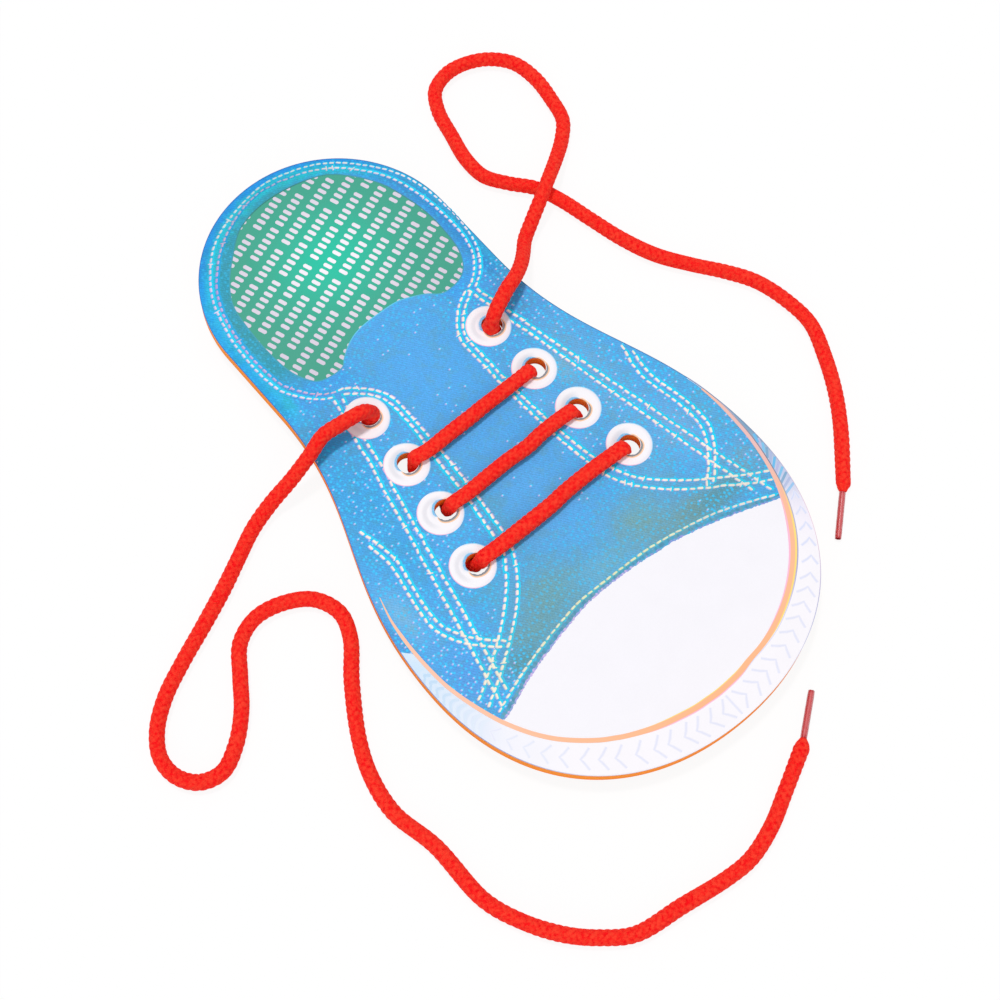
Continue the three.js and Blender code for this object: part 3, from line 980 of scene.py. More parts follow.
def braid_surface(line, along, radius):
    """The braid as a grid of station and turn.

    A strand of one hand has its middle where the turn, less its helix, is a multiple of a quarter
    turn, and its round back stands up by 1 - |offset|^2.2. Strands of the two hands cross in eight
    columns, where the cosine of four turns lifts one hand over the other by turns. The surface is
    the higher of the two hands, and the crests lie at the given radius.
    """
    side, up = carried_frames(line)
    turn = 2 * np.pi * np.arange(RING_SIDES)[None, :] / RING_SIDES
    theta = turn + waves(along, TURN_WAVES)[:, None]
    helix = (np.pi / 2 / STRAND_PITCH) * along[:, None]
    lift = CROSSING_RELIEF * np.cos(4 * theta)
    right_hand, left_hand = wrapped(theta - helix, np.pi / 2), wrapped(theta + helix, np.pi / 2)
    right_back = STRAND_RELIEF * (1 - np.abs(right_hand) ** STRAND_ROUNDNESS) + lift
    left_back = STRAND_RELIEF * (1 - np.abs(left_hand) ** STRAND_ROUNDNESS) - lift
    over = right_back > left_back
    height = np.where(over, right_back, left_back)
    # The relief as a share from 0 to 1. The lace's finish paints shade from it between the strands, and a
    # highlight on their crests.
    relief_shade = (height + CROSSING_RELIEF) / (STRAND_RELIEF + 2 * CROSSING_RELIEF)
    size = radius[:, None] / LACE_RADIUS
    reach = radius[:, None] + (height - STRAND_RELIEF - CROSSING_RELIEF) * size
    ways = square_ways(turn, side[:, None, :], up[:, None, :])
    return reach[..., None] * ways, relief_shade, np.where(over, right_hand, left_hand)


def flattened(line, offsets):
    """Offsets of the runs over the board, drawn out along Y and pressed together square to it.

    The pull grows smoothly from the middle of a hole to the board's top, and the press eases from the
    rims to the middle of each run. In the first holes, where nothing pulls the lace, it fills the hole.
    """
    x, y, z = line.T
    first = y > HOLES_LEFT[0, 1] - FIRST_HOLE_REACH
    over = fade(z, SPREAD_FOOT, BOARD_TOP) * ~first
    bar = np.abs(line[:, 1:2] - HOLES_LEFT[1:, 1]).argmin(1)
    inward = np.minimum(x - HOLES_LEFT[1:, 0][bar], HOLES_RIGHT[1:, 0][bar] - x)
    press = BAR_RIM_THICKNESS + (BAR_THICKNESS - BAR_RIM_THICKNESS) * fade(inward, HOLE_RADIUS, PRESS_EASED)
    along = unit(np.gradient(line, axis=0))
    wide = unit([0, 1, 0] - along[:, 1:2] * along)
    thick = np.cross(along, wide)
    for way, share in ((wide, BAR_SPREAD[bar]), (thick, press)):
        part = (offsets * way[:, None, :]).sum(2, keepdims=True)
        offsets = offsets + ((share - 1) * over)[:, None, None] * part * way[:, None, :]
    loose = stretch(z, BOARD_BOTTOM - 2, BOARD_BOTTOM, BOARD_TOP - 0.5, BOARD_TOP + 3) * first
    return offsets * (1 + FIRST_HOLE_SWELL * loose)[:, None, None]


def kept_in_holes(points):
    """Points at the height of the board's wall, pressed in to the radius of the hole that they are in."""
    level = points[..., 2]
    depth = stretch(level, BOARD_BOTTOM - 0.1, BOARD_BOTTOM + 0.4, BOARD_TOP - 0.4, BOARD_TOP + 0.1)
    room = HOLE_RADIUS - HOLE_CLEARANCE
    for hole in HOLES:
        out = points[..., :2] - hole
        reach = np.linalg.norm(out, axis=-1)
        near = (reach < HOLE_CATCH) & (reach > room)
        share = np.where(near, 1 - depth * (1 - room / np.maximum(reach, room)), 1)
        points[..., :2] = hole + out * share[..., None]
    return points


def lace_radius(along, total):
    """The lace's radius: full on the free tails and thinner where it is pulled tight.

    Each shoulder narrows to the sheath by the root of a share a little above 1, and its core is bare.
    """
    ends = SHOULDER_LENGTH + CORE_LENGTH
    from_end = np.minimum(along, total - along) - ends
    first, last = ends + LEFT_FREE, total - ends - RIGHT_FREE
    start, done = THINNING
    tight = stretch(along, first + start, first + done, last - done, last - start)
    full = BRAID_RADIUS + (BRAID_TAUT_RADIUS - BRAID_RADIUS) * tight
    full = full * (1 + waves(along, WIDTH_WAVES))
    sheathed = AGLET_RADIUS * SHEATH_FIT
    shoulder = np.clip(from_end / SHOULDER_LENGTH + 1, 0, 1) ** 0.8
    slim = sheathed + (full - sheathed) * shoulder
    core = np.where(from_end < -SHOULDER_LENGTH, CORE_RADIUS, slim)
    return np.where(from_end < 0, core, full)


def lace_pieces():
    """One braid over the whole lace, cut where each tail leaves the board.

    That way its strands run on from piece to piece.
    """
    whole = np.vstack([LEFT_TAIL[::-1], THREADED, RIGHT_TAIL])
    keep = np.append(True, np.linalg.norm(np.diff(whole, axis=0), axis=1) > 1e-6)
    whole = whole[keep]
    total = travelled(whole)[-1]
    line = evenly(whole, RING_STEP)
    along = travelled(line)
    offsets, relief_shade, fibre = braid_surface(line, along, lace_radius(along, total))
    left_cut = int(round((LEFT_FREE + SHOULDER_LENGTH + CORE_LENGTH) / RING_STEP))
    right_cut = len(line) - 1 - int(round((RIGHT_FREE + SHOULDER_LENGTH + CORE_LENGTH) / RING_STEP))
    threaded = slice(left_cut, right_cut + 1)
    offsets[threaded] = flattened(line[threaded], offsets[threaded])
    rings = line[:, None, :] + offsets
    rings[threaded] = kept_in_holes(rings[threaded])
    rings[..., 2] = np.maximum(rings[..., 2], 0)
    spans = {
        "lace_tail_left": (0, left_cut),
        "lace_threaded": (left_cut, right_cut),
        "lace_tail_right": (right_cut, len(line) - 1),
    }
    made = {}
    for node, (first, last) in spans.items():
        part = slice(first, last + 1)
        walls = ring_faces(last + 1 - first, RING_SIDES)[:, ::-1]
        cap = np.arange(RING_SIDES)
        caps = np.array([cap, cap[::-1] + (last - first) * RING_SIDES])
        piece = make_piece(
            node.replace("lace", "braid"), rings[part].reshape(-1, 3), [walls, caps],
            BRAID, smooth=True)
        # The relief share, which the finish turns into painted shade between the strands and painted
        # highlight on them.
        paint(piece, "relief_shade", relief_shade[part].ravel())
        paint(piece, "fibre", fibre[part].ravel())
        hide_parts(node)
        made[node] = (piece, line[part])
    return made


def aglet(name, end, way, node):
    """A film rolled round the lace's end.

    Its section is a spiral, from the inner to the outer radius in a turn and a bit, as thick as the
    film. Along it the section narrows a little at both ends, where the film is shrunk on. A painted
    highlight along its top falls off as exp(-(turn from the top / reach)^2).
    """
    side = unit(np.cross(way, [0, 0, 1]))
    up = np.cross(side, way)
    lap = np.linspace(0, 2 * np.pi * AGLET_LAP_TURNS, 56)
    outer = AGLET_RADIUS - AGLET_FILM * 0.9 * (1 - lap / lap[-1])
    section = np.concatenate([outer, (outer - AGLET_FILM)[::-1]])
    angle = np.concatenate([lap, lap[::-1]])
    along = np.linspace(AGLET_START, AGLET_END, 60)
    ends = np.minimum(along - AGLET_START, AGLET_END - along)
    waver = AGLET_WAVER * (1 + np.sin(along * 1.7))
    pinch = 1 - AGLET_PINCH * np.exp(-ends / AGLET_PINCH_REACH) - waver
    film = square_ways(angle, side, up) * section[:, None]
    rings = end + way * along[:, None, None] + film * pinch[:, None, None]
    sides = len(section)
    place = np.arange(sides // 2 - 1)
    lips = np.stack([place, place + 1, sides - 2 - place, sides - 1 - place], 1)
    faces = [ring_faces(len(along), sides), lips[:, ::-1], lips + (len(along) - 1) * sides]
    piece = make_piece(name, rings.reshape(-1, 3), faces, AGLET, smooth=True)
    # The painted highlight, paler along the top of the film.
    from_top = np.abs(np.angle(np.exp(1j * (angle - np.pi / 2))))
    top_highlight = np.exp(-(from_top / HIGHLIGHT_REACH) ** 2) * fade(ends, 0.0, HIGHLIGHT_EBB)[:, None]
    paint(piece, "top_highlight", top_highlight.ravel())
    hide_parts(node)
    return piece


LACES = lace_pieces()
AGLET_LEFT = aglet("aglet_film_left", LEFT_END, LEFT_WAY, "aglet_left")
AGLET_RIGHT = aglet("aglet_film_right", RIGHT_END, RIGHT_WAY, "aglet_right")

for node, sheath in (("lace_tail_left", AGLET_LEFT), ("lace_tail_right", AGLET_RIGHT)):
    tail, stations = LACES[node]
    route = stations if node == "lace_tail_right" else stations[::-1]
    travelled(route)[-1] * MM


# The foam board

def foam_board():
    """The board: the profile of a cut edge carried round the outline and each hole, between flat faces.

    The profile is an inset by height: a tight round at the top, a wall that hollows by a sine in the
    middle, and a softer round at the bottom.
    """
    quarter = np.linspace(0, np.pi / 2, 6)
    wall = np.linspace(0, 1, 9)[1:-1]
    wall_high, wall_low = FOAM_TOP - TOP_ROUND, BOARD_BOTTOM + BOTTOM_ROUND
    inset = np.concatenate([
        TOP_ROUND * (1 - np.sin(quarter)), WALL_HOLLOW * np.sin(np.pi * wall),
        BOTTOM_ROUND * (1 - np.cos(quarter))])
    height = np.concatenate([
        FOAM_TOP - TOP_ROUND * (1 - np.cos(quarter)), wall_high + (wall_low - wall_high) * wall,
        wall_low - BOTTOM_ROUND * np.sin(quarter)])
    loops = [OUTLINE, *HOLE_EDGES]
    faces = fill([offset_line(loop, inset[0], closed=True) for loop in loops])[1]
    points, walls, top_index, bottom_index = [], [], [], []
    start = 0
    for loop in loops:
        rings = loop[None] + left_normals(loop)[None] * inset[:, None, None]
        rings = np.concatenate([rings, np.broadcast_to(height[:, None, None], (*rings.shape[:2], 1))], 2)
        points.append(rings.reshape(-1, 3))
        walls.append(ring_faces(len(inset), len(loop))[:, ::-1] + start)
        top_index.append(start + np.arange(len(loop)))
        start += rings.shape[0] * rings.shape[1]
        bottom_index.append(start - len(loop) + np.arange(len(loop)))
    upper = np.concatenate(top_index)[faces]
    lower = np.concatenate(bottom_index)[faces[:, ::-1]]
    piece = make_piece("foam_sheet", np.vstack(points), [*walls, upper, lower], FOAM, smooth=True)
    rounded = np.arange(len(piece.data.polygons)) < len(piece.data.polygons) - len(upper) - len(lower)
    piece.data.polygons.foreach_set("use_smooth", rounded)
    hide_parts("foam_board")


foam_board()


# The print. Places are read on the board's face, from its middle.

INSOLE_EDGE = [
    (5, 121.2), (-5, 121), (-15, 118), (-24, 110.5), (-31, 103), (-35.5, 95), (-37, 84), (-37.2, 72),
    (-36, 62), (-34, 57), (-31, 53), (-25, 51.5), (-20.5, 52), (-19, 53.5), (-15, 56.5), (-10, 59), (-5, 60),
    (0, 60.2), (10, 59.8), (15, 58), (20, 55.5), (23, 53), (26, 52), (33, 53), (37, 56), (40, 62),
    (41.2, 72), (41, 82), (39, 92), (36, 101), (30, 110), (23, 116.5), (15, 119.5),
]
CAP_EDGE = [
    (-60, -80.6), (-55.2, -79.1), (-42.9, -74.6), (-34.2, -72.2), (-24.4, -69.9), (-13.6, -67.9),
    (-9.6, -67.5), (-4.5, -67.4), (3.5, -67.5), (12.5, -68.2), (22.5, -69.3), (26.5, -70), (36.2, -72.3),
    (46.8, -75.4), (62.9, -81),
]
PIPING_LINE = [
    (-64.5, -22.4), (-66.7, -31.1), (-67.6, -39.1), (-67.8, -43.1), (-67.8, -50.1), (-67.2, -59.1),
    (-66.5, -63.1), (-65.1, -68.9), (-62, -78.4), (-59.5, -83.9), (-56, -90), (-51.8, -95.6),
    (-46.8, -100.6), (-40.6, -105.6), (-37.2, -107.7), (-33.7, -109.7), (-26.3, -113), (-22.6, -114.3),
    (-18.7, -115.4), (-9.9, -117.3), (-4.9, -117.8), (-0.9, -118.1), (4.1, -118), (9.1, -117.6),
    (14.9, -116.4), (21.6, -115.3), (28.1, -113.4), (34.4, -110.7), (40.4, -107.4), (45.9, -103.5),
    (51, -99), (55.5, -94), (59.4, -88.5), (62.7, -82.7), (65.4, -76.5), (67.4, -70.1), (68.9, -63.4),
    (69.9, -56.6), (70.3, -49.7), (70.4, -43), (70, -37), (69.2, -31), (68.1, -26.5),
]

# Distances along the piping, as shares of its length, and its widths there.
PIPING_SHARES = [0, 0.06, 0.2, 0.5, 0.68, 0.8, 0.93, 1]
PIPING_WIDTHS = [0.2, 1.2, 1.45, 1.8, 1.55, 1.4, 1.2, 0.3]

DENIM_BASE = (74, 164, 230)
DENIM_STROKES = [
    (-48, 5, 14, 34, 0.9, (50, 160, 226)),
    (52, 5, 16, 34, 0.8, (78, 164, 228)),
    (42, 32, 8, 10, 0.7, (62, 146, 218)),
    (1, 20, 17, 44, 0.9, (78, 168, 238)),
    (2, -32, 16, 20, 0.9, (86, 170, 236)),
    (-20, -57, 15, 11, 0.95, (104, 160, 170)),
    (-33, -64, 14, 7, 0.95, (104, 158, 168)),
    (33, -66, 20, 8, 0.95, (112, 157, 164)),
    (20, -56, 12, 9, 0.9, (110, 164, 172)),
    (0, -62, 12, 6, 0.7, (106, 176, 202)),
    (-17, -20, 4, 22, 0.7, (88, 162, 192)),
    (-34, -44, 8, 12, 0.6, (82, 166, 208)),
    (24, -8, 6, 20, 0.7, (102, 178, 236)),
    (36, -44, 8, 10, 0.6, (104, 170, 206)),
    (44, -6, 10, 30, 0.7, (106, 172, 216)),
    (37, 4, 4, 6, 0.7, (124, 181, 206)),
    (50, -67, 16, 4.5, 0.85, (84, 146, 160)),
    (-57, -60, 10, 14, 0.8, (76, 160, 234)),
    (-63, -32, 5, 11, 0.8, (116, 184, 228)),
    (-70, -34, 2.6, 16, 0.8, (58, 148, 224)),
    (67, -42, 6, 20, 0.6, (92, 170, 212)),
    (53, -40, 7, 14, 0.8, (118, 174, 220)),
    (63, -62, 6, 7, 0.7, (112, 166, 198)),
    (-60, -64, 5, 7, 0.6, (84, 152, 224)),
    (-43, -70, 8, 5, 0.9, (84, 146, 156)),
]


def denim_shade(points):
    """Denim's colour by place.

    On the collar it goes by the distance from the board's edge: an outer, a stitched and an inner band.
    Each has a colour for the left and one for the right, and a third for the heel or for the low ends.
    """
    x, y = points.T
    deep = from_edge(points)[:, None]
    right, heel, low = fade(x, 0, 36)[:, None], fade(y, 96, 118)[:, None], ebb(y, 50, 66)[:, None]
    outer, stitched, inner = (
        between(between(ink(*one), ink(*other), right), ink(*third), place)
        for one, other, third, place in (
            ((6, 164, 232), (44, 160, 212), (2, 144, 226), heel),
            ((26, 182, 230), (44, 142, 214), (8, 186, 206), heel),
            ((38, 152, 178), (58, 152, 226), (58, 158, 234), low)))
    band = between(between(outer, stitched, fade(deep, 2.0, 3.4)), inner, fade(deep, 6.0, 7.2))
    arch = ebb(np.abs(x - 2), 18, 26) * ebb(y, 60, 64)
    collar = (fade(y, 40, 52) * (1 - arch))[:, None]
    return between(airbrush(points, DENIM_BASE, DENIM_STROKES), band, collar)


def denim_speckle(points):
    """How strongly the small dots show: most on the sides, less on the tongue, the vamp and the collar."""
    x, y = points.T
    tongue = ebb(np.abs(x - 1), 13, 20) * fade(y, -46, -38)
    arch = ebb(np.hypot((x - 2) / 20, (y - 54) / 8), 0.6, 1.2)
    vamp = ebb(y, -50, -38) * ebb(np.abs(x), 30, 44)
    collar = fade(y, 46, 60)
    strong = 0.95 - 0.75 * tongue - 0.4 * vamp - 0.5 * collar * (1 - tongue) + 0.45 * arch
    return np.clip(strong, 0.1, 1)


def denim_sparkle(points):
    """The share of the wide grid's cells that hold a bright dot: most low on the left side."""
    x, y = points.T
    low_left = fade(-x, 42, 54) * fade(-y, 30, 48)
    side = fade(np.abs(x), 18, 26)
    vamp = ebb(y, -46, -36) * ebb(np.abs(x), 34, 48)
    collar = np.maximum(fade(y, 46, 60) * fade(np.abs(x - 2), 20, 30), fade(y, 62, 66))
    return np.clip(0.08 + 0.2 * side + 0.5 * low_left - 0.3 * vamp - 0.4 * collar, 0, 1)


INSOLE = evenly(smooth_line(INSOLE_EDGE, closed=True, parts=16), 1.0, closed=True)
INSOLE_MIDDLE = (2, 88)
INSOLE_LAP = 0.6


def print_denim():
    """The denim that covers the whole board, open at the holes and over the insole."""
    points, faces = fill([OUTLINE, INSOLE[::-1], *HOLE_EDGES], 2.0)
    slab("print_denim", points, faces, DENIM_TOP, DENIM, root=DENIM_ROOT, shade=denim_shade(points),
         speckle=denim_speckle(points), sparkle=denim_sparkle(points))


def print_insole():
    """The green insole, lighter towards its middle, a little larger than the window that shows it."""
    points, faces = fill([offset_line(INSOLE, -INSOLE_LAP, closed=True)], 3.0)
    shade = airbrush(points, (62, 160, 136), [(*INSOLE_MIDDLE, 21, 19, 0.95, (4, 198, 166))])
    slab("print_insole", points, faces, INSOLE_TOP, shade=shade)


def placed_shapes(template, places, directions, sizes):
    """Copies of one outline, stretched, turned to directions and moved to places, and the face of each."""
    ahead, aside = directions[:, None, :], left_of(directions)[:, None, :]
    scaled = template[None] * sizes[:, None, :]
    points = places[:, None, :] + scaled[..., :1] * ahead + scaled[..., 1:] * aside
    faces = np.arange(points.shape[0] * points.shape[1]).reshape(points.shape[:2])
    return points.reshape(-1, 2), faces


PILL = np.array([
    (-0.5, -0.2), (-0.38, -0.5), (0.38, -0.5), (0.5, -0.2),
    (0.5, 0.2), (0.38, 0.5), (-0.38, 0.5), (-0.5, 0.2)])

MARK_WAY = heading(math.radians(20))
MARKS_LAP = 1.2
MARK_ROW = 5.97
MARK_ROWS_DROP = 0.7
MARK_PERIOD = 34.3
MARK_SECOND_GROUP = 16.5
MARK_ROW_STARTS = (-13.7, -2.5)
DASHES = 6
DASH_PITCH = 2.62
FIRST_DASH = 0.32
DASH_SIZE = (3.35, 1.5)


def print_insole_marks():
    """Slanted rows of plain upright dashes in groups of six.

    Two groups make a period, and alternate rows start apart.
    """
    upright = left_of(MARK_WAY)
    row, period, group, dash = np.meshgrid(
        np.arange(-8, 9), np.arange(-2, 3), np.arange(2), np.arange(DASHES), indexing="ij")
    start = np.array(MARK_ROW_STARTS)[row % 2]
    shift = start + period * MARK_PERIOD + group * MARK_SECOND_GROUP + (dash + FIRST_DASH) * DASH_PITCH
    rise = row * MARK_ROW - MARK_ROWS_DROP
    places = np.array(INSOLE_MIDDLE) + shift.reshape(-1, 1) * MARK_WAY + rise.reshape(-1, 1) * upright
    places = places[inside(places, [offset_line(INSOLE, -MARKS_LAP, closed=True)])]
    count = len(places)
    points, faces = placed_shapes(PILL, places, np.tile(upright, (count, 1)), np.tile(DASH_SIZE, (count, 1)))
    shade = airbrush(points, (214, 205, 222), [(*INSOLE_MIDDLE, 24, 20, 1, (252, 246, 254))])
    slab("print_insole_marks", points, faces, MARKS_TOP, shade=shade)


def ribbon(name, line, left, right, top, colours, finish=None, closed=False):
    """A flat band between two offsets of a line. Colours are those of its points, by station."""
    count = len(line)
    points = np.vstack([offset_line(line, right, closed), offset_line(line, left, closed)])
    station = np.arange(count if closed else count - 1)
    after = (station + 1) % count
    faces = np.stack([station, after, after + count, station + count], 1)
    slab(name, points, faces, top, finish, shade=np.vstack([colours, colours]))


def strokes(spines, half):
    """Flat strokes: every spine is widened by its half width to both sides, square to its way."""
    count, stations = spines.shape[:2]
    ahead = np.gradient(spines, axis=1)
    aside = unit(left_of(ahead)) * half
    points = np.concatenate([spines - aside, spines + aside], 1)
    station = np.arange(stations - 1)
    quads = np.stack([station, station + 1, station + 1 + stations, station + stations], 1)
    faces = quads[None] + (np.arange(count) * 2 * stations)[:, None, None]
    return points.reshape(-1, 2), faces.reshape(-1, 4)


def print_insole_line():
    """The thin line round the insole.

    It is dark green at the top, grey-teal at the right and light cyan along the arch.
    """
    shade = airbrush(INSOLE, (62, 158, 178), [
        (2, 122, 30, 12, 1.0, (42, 126, 118)),
        (40, 84, 8, 34, 0.9, (66, 134, 146)),
        (0, 58, 22, 7, 1.0, (96, 206, 246))])
    ribbon("print_insole_line", INSOLE, 0.28, -0.12, INSOLE_LINE_TOP, shade, closed=True)


PIPING_CLEARANCE = 0.5
PIPING = evenly(smooth_line(PIPING_LINE, parts=12), 0.8)
PIPING_HALF = np.interp(travelled(PIPING) / travelled(PIPING)[-1], PIPING_SHARES, PIPING_WIDTHS) / 2


def print_piping():
    """The piping, in inks a little out of register: rose and yellow edges, and a cool line outside.

    On the right the rose shows inside and the yellow outside. Round the toe it is the other way.
    """
    x, y = PIPING.T
    peach = airbrush(PIPING, (255, 190, 150), [
        (-66, -55, 18, 36, 1.0, (255, 198, 172)),
        (0, -112, 34, 14, 0.9, (254, 184, 134)),
        (71, -58, 10, 26, 0.95, (236, 190, 188))])
    right = (fade(x, 18, 32) * fade(-y, 68, 94))[:, None]
    toe = stretch(x, -34, -16, 6, 18)[:, None]
    for name, right_shift, toe_shift, top, tone in (
            ("print_piping_rose", (-0.95, -0.1), (0, -0.36), PIPING_ROSE_TOP, ink(254, 190, 216)),
            ("print_piping_yellow", (0.8, -0.15), (0, 0.3), PIPING_YELLOW_TOP, ink(255, 222, 126)),
            ("print_piping", (0, 0), (0, 0), PIPING_TOP, peach)):
        moved = PIPING + right_shift * right + toe_shift * toe
        keep = inside(moved, [inset_board(PIPING_CLEARANCE)])
        colour = peach + (tone - peach) * np.maximum(right, toe)
        ribbon(name, moved[keep], PIPING_HALF[keep], -PIPING_HALF[keep], top, colour[keep])
    outlined = x > -10
    line, x, y = PIPING[outlined], x[outlined], y[outlined]
    cool = airbrush(line, (224, 224, 245), [
        (52, -98, 18, 16, 0.9, (160, 160, 206)),
        (68, -64, 10, 28, 1.0, (126, 130, 152))])
    near = -PIPING_HALF[outlined] - 0.05 - 0.5 * right[outlined, 0]
    width = 0.3 + 0.25 * fade(x, 30, 50) - 0.2 * fade(y, -90, -66) * (x > 0)
    ribbon("print_piping_line", line, near, near - width, PIPING_LINE_TOP, cool)


def inks(*tones):
    """A few printed colours, one to a row."""
    return np.array([ink(*tone) for tone in tones])


CAP_FOOT = -79.6
CAP_WAVER = 0.16


def print_toe_cap():
    """The white cap, from its stitched edge to the piping, and the stray ink along that ragged edge."""
    rng = np.random.default_rng(5)
    edge = evenly(smooth_line(CAP_EDGE, parts=16), 0.6)
    count = len(edge)
    edge[:, 1] += rng.uniform(-CAP_WAVER, CAP_WAVER, count)
    points, faces = fill([np.vstack([PIPING[PIPING[:, 1] < CAP_FOOT], edge[::-1]])], 6.0)
    shade = airbrush(points, (246, 244, 250), [(0, -112, 50, 8, 0.5, (248, 245, 250))])
    slab("print_toe_cap", points, faces, CAP_TOP, shade=shade)
    right = (rng.random(count) < fade(edge[:, 0], -5, 25))[:, None]
    lilac = inks((160, 164, 226), (206, 182, 232), (124, 158, 206))
    cool = inks((60, 180, 220), (96, 160, 214), (150, 150, 220))
    pick = rng.integers(0, 3, count)
    ribbon("print_cap_fringe", edge, rng.uniform(0.2, 0.8, count), rng.uniform(-0.3, -0.02, count),
           CAP_FRINGE_TOP, np.where(right, cool[pick], lilac[pick]))
    tones = inks((84, 154, 188), (74, 142, 174), (104, 158, 180), (70, 164, 200))
    ribbon("print_cap_seam", offset_line(edge, 0.85), rng.uniform(0.5, 0.9, count),
           rng.uniform(-0.85, -0.7, count), CAP_SEAM_TOP, tones[rng.integers(0, 4, count)], STITCH_INK)


# Where the sole band starts: along the piping and along the board's edge on the left, and on the right.
# Its outer edge is put in order by the turn about a point on the board's middle line.
BAND_LEFT_INNER = -44
BAND_LEFT_OUTER = -41
BAND_RIGHT = -27
BAND_TURN_MIDDLE = -40


def print_sole_band():
    """The rubber band round the toe, pale blue where it starts on the left and blue-grey on the right."""
    along = travelled(PIPING)
    start = along[np.argmax(PIPING[:, 1] < BAND_LEFT_INNER)]
    inner = PIPING[(along > start) & (PIPING[:, 1] < BAND_RIGHT)]
    edge = board_edge(0.8)
    outer = edge[(edge[:, 1] < BAND_RIGHT) & ((edge[:, 0] > 0) | (edge[:, 1] < BAND_LEFT_OUTER))]
    outer = outer[np.argsort(np.arctan2(outer[:, 0], BAND_TURN_MIDDLE - outer[:, 1]))]
    points, faces = fill([np.vstack([outer, inner[::-1]])], 2.5)
    shade = airbrush(points, (249, 246, 251), [
        (-71, -52, 6, 20, 0.95, (200, 228, 250)),
        (-68, -72, 7, 14, 0.75, (216, 228, 248)),
        (-60, -92, 8, 12, 0.4, (238, 240, 250)),
        (73, -54, 8, 24, 1.0, (116, 158, 190)),
        (70, -76, 7, 9, 0.8, (186, 196, 230)),
        (66, -90, 8, 12, 0.5, (240, 232, 249))])
    slab("print_sole_band", points, faces, CAP_TOP, shade=shade)


# The marks are counted along the piping from a bar at the toe, and keep clear of both its ends.
TOE_BAR = [(0.5, -128.4), (0.5, -120.4)]
MARKS_CLEAR_LEFT = 30
MARKS_CLEAR_RIGHT = 12
MARK_INNER_GAP = 1.5
MARK_OUTER_GAP = 0.9
SHORTEST_MARK = 0.2
RIPPLE_PITCH = 3.0
STRIPE_PITCH = 2.1


def across_sole(steps):
    """The sole band at steps along the piping from the toe's bar.

    It gives which steps are clear of its ends, and for those the places, the ways along and out, and
    the widths.
    """
    along = travelled(PIPING)
    toe = np.where(PIPING[:, 1] < -100, np.abs(PIPING[:, 0] - TOE_BAR[0][0]), np.inf).argmin()
    places = along[toe] + steps
    clear = (places > MARKS_CLEAR_LEFT) & (places < along[-1] - MARKS_CLEAR_RIGHT)
    places = places[clear]
    base = at_distances(PIPING, places)
    ahead = unit(at_distances(PIPING, places + 0.5) - at_distances(PIPING, places - 0.5))
    outward = -left_of(ahead)
    across = board_edge(0.5)[None] - base[:, None]
    reach = (across * outward[:, None]).sum(2)
    off = np.where(reach < 0, np.inf, np.abs((across * ahead[:, None]).sum(2)))
    return clear, base, ahead, outward, reach[np.arange(len(base)), off.argmin(1)]


def sole_strokes(steps, half, reaches, leans):
    """Strokes across the sole band, and small lifts that keep neighbours apart where they cross.

    Reaches are shares of the band's clear width, in one row or a row for each stroke, and leans are
    along the band, away from its middle.
    """
    clear, base, ahead, outward, width = across_sole(steps)
    near, far = MARK_INNER_GAP, width - MARK_OUTER_GAP
    reach = near + (far - near)[:, None] * np.broadcast_to(reaches, (len(steps), len(leans)))[clear]
    lean = np.sign(steps[clear])[:, None] * np.asarray(leans)
    spines = base[:, None] + outward[:, None] * reach[..., None] + ahead[:, None] * lean[..., None]
    keep = far > near + SHORTEST_MARK
    points, faces = strokes(spines[keep], half)
    lift = np.repeat(np.arange(keep.sum()) % 3 * NEIGHBOUR_STEP, 2 * spines.shape[1])
    return points, faces, lift


CHEVRON_STEPS = [
    -77.8, -72.3, -66.8, -61.4, -56, -49.8, -44.4, -39.6, -33.6, -27.8, -23.4, -17.9, -13.6, -8.9, -3.9,
    4.3, 9.2, 14.1, 19.3, 24.6, 29.9, 35, 40, 45, 49.7, 55.4, 61.2, 66.5, 72, 77.4]
CHEVRON_LEANS = [-2.2, -0.7, 0.6, -0.5, -2.4]


def chevron_reaches(steps):
    """Where a chevron's five stations lie across the band: its tip goes outwards to the right."""
    tip = 0.52 + 0.14 * fade(steps, 40, 90)[:, None]
    out = 0.13 * fade(steps, 34, 56)[:, None]
    return np.hstack([0.1 + 0 * tip, tip - 0.16, tip, tip + 0.12, 0.9 + 0 * tip]) + out


